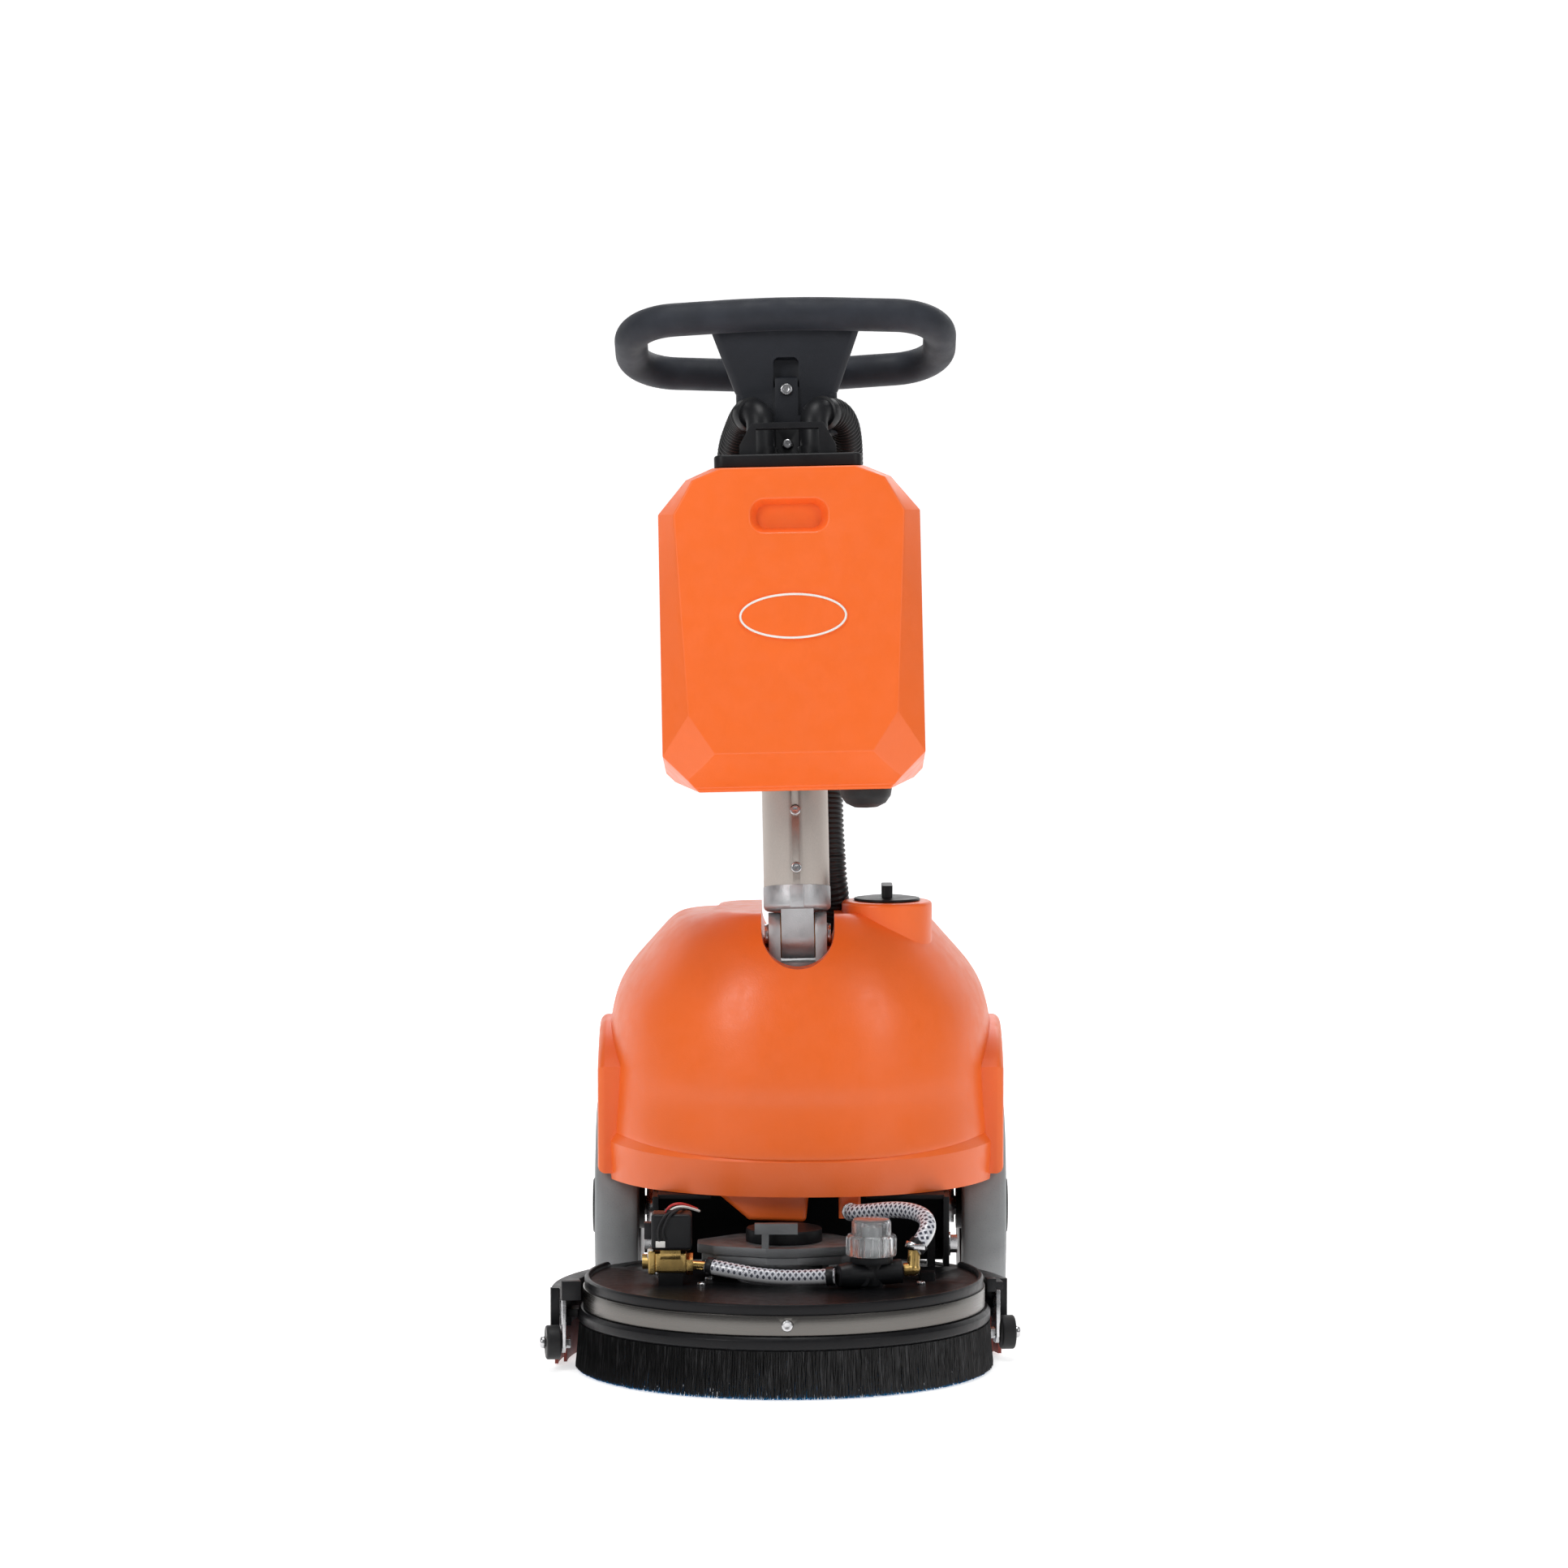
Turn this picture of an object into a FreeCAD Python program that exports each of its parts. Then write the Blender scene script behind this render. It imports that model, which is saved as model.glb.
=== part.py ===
"""Walk-behind wet dry floor scrubber with one disc brush.

Millimetres, +Z up, the front faces -Y. The machine is drawn round its own middle plane (x = 0) with the
brush axis at y = 0, and is moved at the end so that the origin is the middle of its footprint on the floor.
The column, with the handle and the recovery tank, is drawn upright from the fold pin (its local origin)
and is then leaned back.
"""
import FreeCAD
import Part
import math
import os

V = FreeCAD.Vector

# ---- driving dimensions ---------------------------------------------------------------------------
BRUSH_R = 186.0            # 380 mm class disc brush
DECK_X = -17.0             # the deck sits a little to the left of the machine's middle
PAN_R = 198.0              # outside of the brush pan
PAN_TOP = 81.0
COVER_TOP = 86.5
DECK_CUT = 80.0            # the cover is cut straight this far behind the brush axis
LIP_TOP = 91.5
BAND_Z = (61.5, 81.0)
RING_R = (198.1, 205.0)    # squeegee carrier ring, turning round the pan
RING_Z = (46.0, 61.0)
SKIRT_BOTTOM = 7.0

SWING = 8.0                # degrees that the squeegee stands turned round the deck
SQUEEGEE_R = (213.0, 231.0)
ROLLER_R = 17.0
ROLLER_Z = 27.5

WHEEL_R = 118.0
WHEEL_Y = 300.0
TYRE_X = (165.0, 211.0)
AXLE_R = 10.0
FLOAT_Y = 100.0            # pivot bolts that carry the deck
FLOAT_Z = 107.0

BODY_BOTTOM = 162.0
NOTCH_R = 37.0             # half width and bottom radius of the channel for the column
NOTCH_Z = 424.0
FILLER = (88.0, 190.0)
BOSS_TOP = 447.0
WALL = 5.0

COLUMN_X = -3.0            # the column stands a little to the left too
PIVOT = (COLUMN_X, 150.0, 415.0)
LEAN = 10.0                # degrees that the column leans back
SIDE_LEAN = 1.2            # play in the fold joint lets the column lean sideways
TUBE_R = 33.5
TONGUE_W = 16.4
PIN_R = 8.0
RUN = 0.05                 # radial running clearance

TANK_HALF = 131.0
TANK_FRONT = -165.0
TANK_REAR = 20.0
TANK_TOP = 459.0
TANK_FOOT = 134.0
TANK_WALL = 4.0
LID_GAP = 0.4
LID_TOP = 472.0

GRIP_R = 17.0
GRIP_L = 608.0             # height of the grip ring's middle along the column
GRIP_TILT = 15.0

HOSE_R = 16.0
HOSE_BORE = 13.0

parts = {}


# ---- helpers --------------------------------------------------------------------------------------
def box(x0, x1, y0, y1, z0, z1):
    return Part.makeBox(x1 - x0, y1 - y0, z1 - z0, V(x0, y0, z0))


def rod(start, end, radius):
    start = V(*start)
    along = V(*end) - start
    return Part.makeCylinder(radius, along.Length, start, along)


def pipe_piece(start, end, outer, inner):
    return rod(start, end, outer).cut(rod(start, end, inner))


def ring(centre, z0, z1, outer, inner):
    return pipe_piece((centre[0], centre[1], z0), (centre[0], centre[1], z1), outer, inner)


def union(shapes):
    first, *rest = shapes
    return first.multiFuse(rest).removeSplitter() if rest else first


def prism(points, direction):
    wire = Part.makePolygon([V(*p) for p in points + points[:1]])
    return Part.Face(wire).extrude(V(*direction))


def turned(profile, centre=(0.0, 0.0), angle=360.0):
    """Revolve (radius, z) points about the vertical through centre."""
    face = Part.Face(Part.makePolygon([V(r, 0, z) for r, z in profile + profile[:1]]))
    solid = face.revolve(V(0, 0, 0), V(0, 0, 1), angle)
    solid.translate(V(centre[0], centre[1], 0))
    return solid


def soften(shape, radius, pick=lambda edge: True):
    """Round the picked edges, with a smaller radius where the full one doesn't fit."""
    edges = [edge for edge in shape.Edges if pick(edge)]
    for size in (radius, radius * 0.7, radius * 0.45, radius * 0.25):
        try:
            result = shape.makeFillet(size, edges)
        except Exception:
            continue
        if result.isValid() and len(result.Solids) == 1 and result.Volume > 0.7 * shape.Volume:
            return result
    print("not rounded", round(radius, 1), len(edges))
    return shape


def upright(edge):
    """True for a straight edge along Z."""
    if len(edge.Vertexes) != 2:
        return False
    step = edge.Vertexes[1].Point - edge.Vertexes[0].Point
    return step.Length > 1 and abs(step.z) > 0.99 * step.Length


def route(points, closed=False, share=0.45):
    """Straight runs joined by tangent arcs that take up a share of each run; also gives the tightest radius."""
    pts = [V(*p) for p in points]
    count = len(pts)
    corners = range(count) if closed else range(1, count - 1)
    trims = {}
    radii = []
    for i in corners:
        before = pts[i - 1] - pts[i]
        after = pts[(i + 1) % count] - pts[i]
        short = min(before.Length, after.Length)
        half_turn = (math.pi - before.getAngle(after)) / 2
        reach = share * short
        radii.append(reach / math.tan(half_turn))
        start = pts[i] + before.normalize() * reach
        end = pts[i] + after.normalize() * reach
        chord_mid = (start + end) * 0.5
        to_centre = chord_mid - pts[i]
        gap = to_centre.Length
        rise = radii[-1] / math.cos(half_turn) - radii[-1]
        trims[i] = (start, pts[i] + to_centre * (rise / gap), end)
    edges = []
    for i in range(count if closed else count - 1):
        j = (i + 1) % count
        if i in trims and (closed or i > 0):
            edges.append(Part.Arc(*trims[i]).toShape())
        begin = trims[i][2] if i in trims else pts[i]
        finish = trims[j][0] if j in trims else pts[j]
        edges.append(Part.LineSegment(begin, finish).toShape())
    return Part.Wire(edges), (min(radii) if radii else 0.0)


def tube(points, radius, bore=0.0, closed=False, label="", share=0.45):
    """Sweep a round section along a route."""
    wire, tight = route(points, closed, share)
    if label:
        print(label, "length", round(wire.Length), "tightest bend", round(tight, 1))
    edge = wire.Edges[0] if not closed else wire.Edges[1]
    start = edge.valueAt(edge.FirstParameter)
    along = edge.tangentAt(edge.FirstParameter)
    spine = wire if not closed else Part.Wire(wire.Edges[1:] + wire.Edges[:1])

    def sweep(r):
        section = Part.Wire(Part.Circle(start, along, r).toShape())
        return spine.makePipeShell([section], True, False, 1)

    solid = sweep(radius)
    return solid.cut(sweep(bore)) if bore else solid


def leaned(shape, back=LEAN):
    """Put a piece of the column, drawn upright from the fold pin, in its place."""
    result = shape.copy()
    result.rotate(V(0, 0, 0), V(1, 0, 0), -back)
    result.rotate(V(0, 0, 0), V(0, 1, 0), -SIDE_LEAN)
    result.translate(V(*PIVOT))
    return result


def on_deck(shape, turn=0.0):
    """Put a piece drawn round the brush axis on the deck, turned about that axis."""
    result = shape.copy()
    result.rotate(V(0, 0, 0), V(0, 0, 1), turn)
    result.translate(V(DECK_X, 0, 0))
    return result


def mirrored(shape):
    return union([shape, shape.mirror(V(0, 0, 0), V(1, 0, 0))])


def hex_head(centre, axis, across, height):
    """A hexagon head standing on centre along axis."""
    radius = across / math.sqrt(3)
    corners = [V(radius * math.cos(math.radians(60 * k)), radius * math.sin(math.radians(60 * k)), 0)
               for k in range(6)]
    head = Part.Face(Part.makePolygon(corners + corners[:1])).extrude(V(0, 0, height))
    head.Placement = FreeCAD.Placement(V(*centre), FreeCAD.Rotation(V(0, 0, 1), V(*axis)))
    return head


def pan_screw(point, axis, radius=5.5, height=3.0, shank=6.0):
    """Pan-head screw with a hexagon socket; the head stands on point."""
    point = V(*point)
    axis = V(*axis).normalize()
    head = Part.makeCylinder(radius, height, point, axis)
    head = soften(head, height * 0.5, lambda e: abs((e.CenterOfMass - point).dot(axis) - height) < 0.01)
    socket = hex_head(point + axis * (height * 0.4), axis, radius * 0.9, height)
    stem = Part.makeCylinder(radius * 0.5, shank, point - axis * shank, axis)
    return head.cut(socket).fuse(stem)


# ---- clean-water tank -----------------------------------------------------------------------------
# Level of each outline: height at the front, rise per mm going back, half width, front, widest place, rear
OUTLINES = [
    (162.0, 0.00, 208.0, 42.5, 290.0, 425.0),
    (197.0, 0.03, 210.0, 40.0, 290.0, 427.0),
    (206.0, 0.03, 204.0, 45.0, 290.0, 422.0),
    (240.0, 0.04, 202.0, 46.0, 290.0, 419.5),
    (268.0, 0.05, 200.3, 46.8, 290.0, 417.6),
    (283.0, 0.05, 199.0, 48.2, 290.0, 416.2),
    (310.0, 0.03, 196.0, 53.0, 288.0, 412.0),
    (342.0, 0.03, 188.0, 61.0, 284.0, 404.0),
    (368.0, 0.03, 173.0, 71.0, 278.0, 393.0),
    (390.0, 0.02, 157.0, 83.0, 270.0, 380.0),
    (408.0, 0.02, 142.0, 97.0, 262.0, 366.0),
    (426.0, 0.01, 120.0, 118.0, 250.0, 346.0),
    (436.0, 0.00, 84.0, 142.0, 240.0, 318.0),
]
FRONT_POWER = 2.3          # how square the oval is in front of its widest place
REAR_POWER = 4.0
QUARTER = 9                # points on a quarter of the outline


def quarter(half, depth, power):
    """Even points on a quarter of a rounded rectangle, from its widest place to its end."""
    dense = []
    for k in range(401):
        angle = math.pi / 2 * k / 400
        dense.append((half * math.cos(angle) ** (2 / power), depth * math.sin(angle) ** (2 / power)))
    lengths = [0.0]
    for (x0, y0), (x1, y1) in zip(dense, dense[1:]):
        lengths.append(lengths[-1] + math.hypot(x1 - x0, y1 - y0))
    even = []
    index = 0
    for k in range(QUARTER + 1):
        while index < 400 and lengths[index] < lengths[-1] * k / QUARTER - 1e-9:
            index += 1
        even.append(dense[index])
    return even


def outline(level, inset=0.0, drop=0.0):
    """Closed outline of the tank at one level: oval in front and boxy behind its widest place."""
    z, rise, half, front, side, rear = level
    ahead = quarter(half - inset, side - front - inset, FRONT_POWER)
    behind = quarter(half - inset, rear - inset - side, REAR_POWER)
    points = [(x, -y) for x, y in ahead]
    points += [(-x, -y) for x, y in ahead[::-1][1:]]
    points += [(-x, y) for x, y in behind[1:]]
    points += [(x, y) for x, y in behind[::-1][1:-1]]
    curve = Part.BSplineCurve()
    curve.interpolate(Points=[V(x, side + y, z - drop + rise * (side + y - front)) for x, y in points],
                      PeriodicFlag=True)
    return Part.Wire(curve.toShape())


def stack(levels):
    """Lower band, ledge, and the smooth wall and domed top of the tank, one above the other."""
    wires = [outline(level) for level in levels]
    bands = [Part.makeLoft(wires[i:i + 2], True, True) for i in range(2)]
    return bands + [Part.makeLoft(wires[2:], True, False)]


def wheel_arches(radius, x_in, x_out):
    wells = [rod((side * x_in, WHEEL_Y, WHEEL_R), (side * x_out, WHEEL_Y, WHEEL_R), radius)
             for side in (-1, 1)]
    wells += [box(min(side * x_in, side * x_out), max(side * x_in, side * x_out), WHEEL_Y - radius,
                  WHEEL_Y + radius, 0, WHEEL_R) for side in (-1, 1)]
    return wells


def fender(side):
    """Bulged flank over a wheel."""
    flat = Part.makeCylinder(198.0, 38.0, V(0, 0, 0), V(1, 0, 0))
    flat.translate(V(170.0, WHEEL_Y - 4, WHEEL_R + 2))
    flat = flat.common(box(170, 207.5, 176, 424, BODY_BOTTOM + 6, 330))
    flat = soften(flat, 8.0, lambda e: e.CenterOfMass.x > 206)
    return flat if side > 0 else flat.mirror(V(0, 0, 0), V(1, 0, 0))


def channel(grow=0.0):
    """Room for the column, the yoke post and the hose behind it."""
    half = NOTCH_R + grow
    slot = [rod((0, -20, NOTCH_Z), (0, 460, NOTCH_Z), half),
            box(-half, half, -20, 460, NOTCH_Z, 520),
            box(-35 - grow, 35 + grow, 112 - grow, 188 + grow, 100, NOTCH_Z)]
    pocket = [box(0, 58 + grow, 196 - grow, 320 + grow, 386 - grow, 520),
              box(8 - grow, 50 + grow, 214 - grow, 256 + grow, 336 - grow, 400)]
    pieces = slot + pocket
    for piece in pieces:
        piece.translate(V(COLUMN_X, 0, 0))
    return pieces


def clean_water_tank():
    outer = union(stack(OUTLINES))
    fx, fy = FILLER
    boss = soften(Part.makeCylinder(46, 67, V(fx, fy, BOSS_TOP - 67)), 4.0,
                  lambda e: e.CenterOfMass.z > BOSS_TOP - 2)
    outer = union([outer, fender(1), fender(-1)])
    outer = outer.cut(union(channel() + wheel_arches(WHEEL_R + 10, 150, 230) + [box(-140, 140, 196, 404, 100, 300)]))
    outer = union([outer, boss])
    inner = Part.makeLoft([outline(level, WALL, 6.0) for level in OUTLINES], True, True)
    floor = box(-230, 230, 0, 460, 0, BODY_BOTTOM + WALL)
    keep_out = channel(WALL) + wheel_arches(WHEEL_R + 10 + WALL, 150 - WALL, 240)
    keep_out += [box(-140 - WALL, 140 + WALL, 196 - WALL, 404 + WALL, 100, 300 + WALL), floor]
    inner = inner.cut(union(keep_out))
    neck = Part.makeCylinder(31, 80, V(fx, fy, 380))
    body = outer
    for room in inner.Solids:
        if room.Volume > 2e5:
            body = body.cut(room)
    body = body.cut(neck)
    sump_side = [(-84, 163), (-52, 136), (5, 134), (8, 163)]
    sump = prism([(x, 62, z) for x, z in sump_side], (0, 46, 0))
    sump = soften(sump, 5.0, lambda e: e.CenterOfMass.z < 150)
    outlet = soften(box(38, 60, 62, 88, 138, 164), 3.0, upright)
    spigot = rod((FEED_END_X, 52.0, 147), (FEED_END_X, 64, 147), 4.6)
    return body.multiFuse([union([sump, outlet, spigot])])


def filler_cap():
    fx, fy = FILLER
    top = BOSS_TOP + 0.2
    disc = turned([(0, top), (33, top), (34, top + 1), (33, top + 2.6), (20, top + 4.4), (0, top + 4.8)], FILLER)
    plug = Part.makeCylinder(28, 22, V(fx, fy, top - 21))
    bar = soften(box(fx - 5.5, fx + 5.5, fy - 20, fy + 20, top + 1, 463.5), 3.5, upright)
    return union([disc, plug, bar])


# ---- chassis --------------------------------------------------------------------------------------
def base_frame():
    side = prism([(143, 62, 89.5), (143, 94, 89.5), (143, 128, 92), (143, 340, 92), (143, 350, 160), (143, 62, 160)],
                 (6, 0, 0))
    side = side.cut(rod((140, FLOAT_Y, FLOAT_Z), (152, FLOAT_Y, FLOAT_Z), 6.0))
    side = side.cut(rod((140, WHEEL_Y, WHEEL_R), (152, WHEEL_Y, WHEEL_R), AXLE_R))
    sides = [side, side.mirror(V(0, 0, 0), V(1, 0, 0))]
    front_panel = box(-144, 144, 128, 131, 86.5, 160)
    top = box(-144, 144, 66, 348, 157, 161.5).cut(box(-120, 120, 200, 340, 150, 170))
    top = top.cut(box(-90, 66, 40, 112, 150, 170))
    rear = box(-144, 144, 340, 346, 96, 160)
    tray = box(-118, 118, 205, 338, 150, 154)
    tray_sides = [box(-122, -118, 205, 338, 150, 160), box(118, 122, 205, 338, 150, 160)]
    saddle = box(COLUMN_X - 26, COLUMN_X + 26, 122, 178, 161, 168)
    return union(sides + [front_panel, top, rear, tray, saddle] + tray_sides)


def wheel_axle():
    axle = rod((-214, WHEEL_Y, WHEEL_R), (214, WHEEL_Y, WHEEL_R), AXLE_R)
    collars = [pipe_piece((s * 149.2, WHEEL_Y, WHEEL_R), (s * 160, WHEEL_Y, WHEEL_R), 18, AXLE_R)
               for s in (-1, 1)]
    return union([axle] + collars)


def hinge_yoke():
    """Post through the tank and a clevis with two cheeks for the fold pin."""
    post = box(-22, 22, 126, 174, 168, 386)
    post = soften(post, 7.0, upright).cut(box(-15, 15, 133, 167, 160, 376))
    post.translate(V(COLUMN_X, 0, 0))
    block = box(-29.5, 29.5, -25, 25, -44, -25.6)
    cheek = union([rod((17.6, 0, 0), (29.5, 0, 0), 23.5), box(17.6, 29.5, -23.5, 23.5, -30, 0)])
    clevis = union([block, mirrored(cheek)]).cut(rod((-40, 0, 0), (40, 0, 0), PIN_R))
    return union([post, leaned(clevis, 0.0)])


def fold_pin():
    pin = rod((-32, 0, 0), (32, 0, 0), PIN_R)
    heads = [rod((s * 29.6, 0, 0), (s * 33.4, 0, 0), 12) for s in (-1, 1)]
    return leaned(union([pin] + heads), 0.0)


def thrust_washers():
    return Part.makeCompound([leaned(pipe_piece((s * 16.5, 0, 0), (s * 17.6, 0, 0), 23.0, PIN_R), 0.0)
                              for s in (-1, 1)])


def battery_pack():
    case = soften(box(-108, 108, 212, 332, 154.2, 268), 6.0)
    ribs = [box(-90 + 36 * k, -72 + 36 * k, 220, 324, 267, 272) for k in range(6)]
    return union([case] + ribs)


def controller_box():
    case = soften(box(-118, -34, 142, 196, 100, 146), 4.0)
    fins = [box(-112 + 10 * k, -108 + 10 * k, 144, 194, 145, 152) for k in range(8)]
    return union([case] + fins)


def float_bolts():
    """Shoulder bolts through the side plates into the deck lugs, with big washers."""
    bolts = []
    for s in (-1, 1):
        shank = rod((s * 128.5, FLOAT_Y, FLOAT_Z), (s * 149, FLOAT_Y, FLOAT_Z), 6.0)
        washer = pipe_piece((s * 149, FLOAT_Y, FLOAT_Z), (s * 151, FLOAT_Y, FLOAT_Z), 12, 6.0)
        head = hex_head((s * 151, FLOAT_Y, FLOAT_Z), (s, 0, 0), 16, 7)
        bolts.append(union([shank, washer, head]))
    return Part.makeCompound(bolts)


# ---- wheels ---------------------------------------------------------------------------------------
def tyre(side):
    x0, x1 = TYRE_X
    bead = 84.0
    profile = [(bead, x0 + 2), (WHEEL_R - 9, x0), (WHEEL_R - 3, x0 + 2), (WHEEL_R, x0 + 8),
               (WHEEL_R, x1 - 8), (WHEEL_R - 3, x1 - 2), (WHEEL_R - 9, x1), (bead, x1 - 2)]
    return wheel_turned(profile, side)


def wheel_turned(profile, side):
    face = Part.Face(Part.makePolygon([V(side * x, r, 0) for r, x in profile + profile[:1]]))
    solid = face.revolve(V(0, 0, 0), V(1, 0, 0), 360)
    solid.translate(V(0, WHEEL_Y, WHEEL_R))
    return solid


def rim(side):
    """Wheel centre with a hub tube, spokes between two walls, and the hub cap."""
    x0, x1 = TYRE_X
    bore = AXLE_R + RUN
    barrel = wheel_turned([(78, x0 + 3), (84, x0 + 2), (84, x1 - 2), (78, x1 - 3)], side)
    disc = wheel_turned([(bore, 184), (80, 184), (80, 190), (bore, 190)], side)
    hub = wheel_turned([(bore, 162), (24, 162), (24, x1 - 4), (bore, x1 - 4)], side)
    spokes = []
    for k in range(6):
        web = box(min(side * 170, side * 206), max(side * 170, side * 206), -3, 3, 20, 80)
        web.rotate(V(0, 0, 0), V(1, 0, 0), 60 * k)
        web.translate(V(0, WHEEL_Y, WHEEL_R))
        spokes.append(web)
    cap = wheel_turned([(14, x1 - 4), (30.5, x1 - 4), (30.5, x1 + 2), (27, x1 + 4.6), (0, x1 + 5.4),
                        (0, x1 + 3.6), (14, x1 + 3.6)], side)
    return union([barrel, disc, hub, cap] + spokes)


# ---- deck -----------------------------------------------------------------------------------------
def behind_cut(shape, y=DECK_CUT):
    return shape.common(box(-260, 260, -260, y, -10, 300))


def deck_pan():
    pan = turned([(30, PAN_TOP - 3), (PAN_R, PAN_TOP - 3), (PAN_R, PAN_TOP), (30, PAN_TOP)])
    wall = turned([(195, 42), (PAN_R, 42), (PAN_R, PAN_TOP - 1), (195, PAN_TOP - 1)])
    lug = box(127.5, 135.5, FLOAT_Y - 14, FLOAT_Y + 14, PAN_TOP - 1, FLOAT_Z + 13)
    lug = lug.cut(rod((120, FLOAT_Y, FLOAT_Z), (150, FLOAT_Y, FLOAT_Z), 6.0 + RUN))
    shape = on_deck(union([pan, wall]))
    return union([shape, lug, lug.mirror(V(0, 0, 0), V(1, 0, 0))])


def deck_cover():
    disc = ring((0, 0), PAN_TOP, COVER_TOP, 197.5, 30)
    lip = turned([(192, COVER_TOP - 1), (PAN_R, COVER_TOP - 1), (PAN_R, LIP_TOP - 2), (196.5, LIP_TOP),
                  (194, LIP_TOP), (192, LIP_TOP - 2)])
    lower = turned([(190, PAN_TOP), (PAN_R, PAN_TOP), (PAN_R, COVER_TOP), (190, COVER_TOP)])
    shape = behind_cut(union([disc, lower, lip]))
    x, y = VALVE
    foot = box(x - 14, x + 10, y - 9, y + 9, COVER_TOP - 1, 99.0)
    clip = soften(box(134, 150, -12, 2, COVER_TOP - 1, 95), 2.0, upright)
    return on_deck(union([shape, foot, clip]))


def deck_band():
    band = turned([(PAN_R, BAND_Z[0]), (PAN_R + 1.6, BAND_Z[0]), (PAN_R + 1.6, BAND_Z[1]), (PAN_R, BAND_Z[1])])
    return on_deck(behind_cut(band, DECK_CUT - 4))


COVER_SCREWS = ((-81, -42), (-74, -6), (95, -24), (135, -36), (-126, 30))


def deck_screws():
    screws = [pan_screw((x, y, COVER_TOP), (0, 0, 1), 4.5, 3.0, 8.0) for x, y in COVER_SCREWS]
    screws.append(pan_screw((3, -PAN_R - 1.6, 71.5), (0, -1, 0), 5.6, 3.4, 6.0))
    return Part.makeCompound([on_deck(screw) for screw in screws])


def gearbox():
    """Cast housing: two pointed flanges one above the other, and a T rib."""
    spigot = ring((0, 0), 72, 96, 28.5, 14.2)
    boss = turned([(14.2, COVER_TOP), (46, COVER_TOP), (42, 96), (46, 107), (14.2, 107)])
    arms = [(-86, -8), (-70, -23), (-18, -44), (14, -44), (60, -28), (80, -10), (80, 20), (44, 62), (-44, 62),
            (-86, 20)]
    lower = soften(prism([(x * 0.95, y * 0.97, 105) for x, y in arms], (0, 0, 8.4)), 5.0, upright)
    upper = soften(prism([(x, y, 114.2) for x, y in arms], (0, 0, 8.8)), 5.0, upright)
    joint = prism([(x * 0.92, y * 0.92, 113) for x, y in arms], (0, 0, 2))
    ribs = [box(-5, 3, -42, -36, 92, 106), box(-44, -38, -30, -20, 92, 106), box(38, 44, -30, -20, 92, 106)]
    rib = union([box(-22, -15, -42, -34, 122, 138), box(-29, 13.5, -42, -34, 137, 147.5)])
    bore = rod((0, 0, 60), (0, 0, 122), 14.2)
    return on_deck(union([spigot, boss, lower, upper, joint, rib] + ribs).cut(bore))


def brush_motor():
    can = soften(Part.makeCylinder(38, 13, V(0, 14, 123.2)), 2.0, lambda e: e.CenterOfMass.z > 130)
    return on_deck(can)


VALVE = (-110.0, -34.0)


def valve_body():
    """Brass valve on a black foot, with an inlet spigot and a hose barb."""
    x, y = VALVE
    block = soften(box(x - 18, x + 14, y - 11, y + 11, 99.1, 119), 2.5)
    waist = box(x - 12, x + 8, y - 13, y + 13, 113, 121.8)
    ears = soften(box(x - 24, x - 17, y - 12.5, y + 12.5, 97.5, 121), 2.0)
    inlet = rod((x - 30, y, 109), (x - 18, y, 109), 7.5)
    nut = hex_head((x + 13, y, 106.5), (1, 0, 0), 19, 7)
    barb = rod((x + 19, y, 105.5), (x + 35.5, y - 2.3, 104.6), 4.4)
    return on_deck(union([block, waist, ears, inlet, nut, barb]))


def valve_coil():
    x, y = VALVE
    coil = soften(box(x - 21, x + 19, y - 15, y + 16, 122, 158), 3.5)
    top = Part.makeCylinder(6, 3, V(x - 2, y, 158))
    boss = box(x - 28, x - 19, y - 6, y + 8, 132, 148)
    return on_deck(union([coil, top, boss]))


def valve_wires():
    x, y = VALVE
    wires = []
    for k in (0, 1):
        points = [(x - 12 + 5 * k, y - 16.4, 128 + 4 * k), (x - 15 + 5 * k, y - 18.5, 142),
                  (x - 9 + 6 * k, y - 17.5, 156 + 2 * k), (x + 2 + 5 * k, y - 8, 161.5 + k),
                  (x + 8 + 5 * k, y + 30, 155 + 2 * k)]
        wires.append(tube(points, 1.3))
    return Part.makeCompound([on_deck(wire) for wire in wires])


SUPPLY_ROUTE = [(-76, -36, 104.8), (-54, -46, 102.5), (-28, -55, 98.5), (-1, -61, 97), (24, -66, 98.0),
                (50, -70, 100)]
FEED_END_X = 50.0
FEED_ROUTE = [(128, -56, 124), (137, -52, 134), (143, -40, 145), (139, -24, 153), (125, -8, 156),
              (107, 7, 155), (88, 20, 151), (FEED_END_X - DECK_X, 37, 147), (FEED_END_X - DECK_X, 53, 147)]


def supply_hose():
    return on_deck(tube(SUPPLY_ROUTE, 7.6, 4.6, label="supply hose"))


def feed_hose():
    return on_deck(tube(FEED_ROUTE, 8.2, 5.0, label="feed hose"))


def hose_clamps():
    """Two black ferrules on the supply hose and a worm-drive clamp on the feed hose."""
    def collar(route_points, index, outer, bore, length):
        a = V(*route_points[index])
        b = V(*route_points[index + 1])
        along = (b - a).normalize()
        start = a + along * 1.0
        return pipe_piece(tuple(start), tuple(start + along * length), outer, bore)

    first = collar(SUPPLY_ROUTE, 0, 9.2, 7.7, 6)
    back = SUPPLY_ROUTE[::-1]
    second = collar(back, 0, 9.2, 7.7, 7)
    worm = collar(FEED_ROUTE, 0, 9.8, 8.3, 8)
    return Part.makeCompound([on_deck(piece) for piece in (first, second, worm)])


FILTER = (86.0, -58.0)


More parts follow.
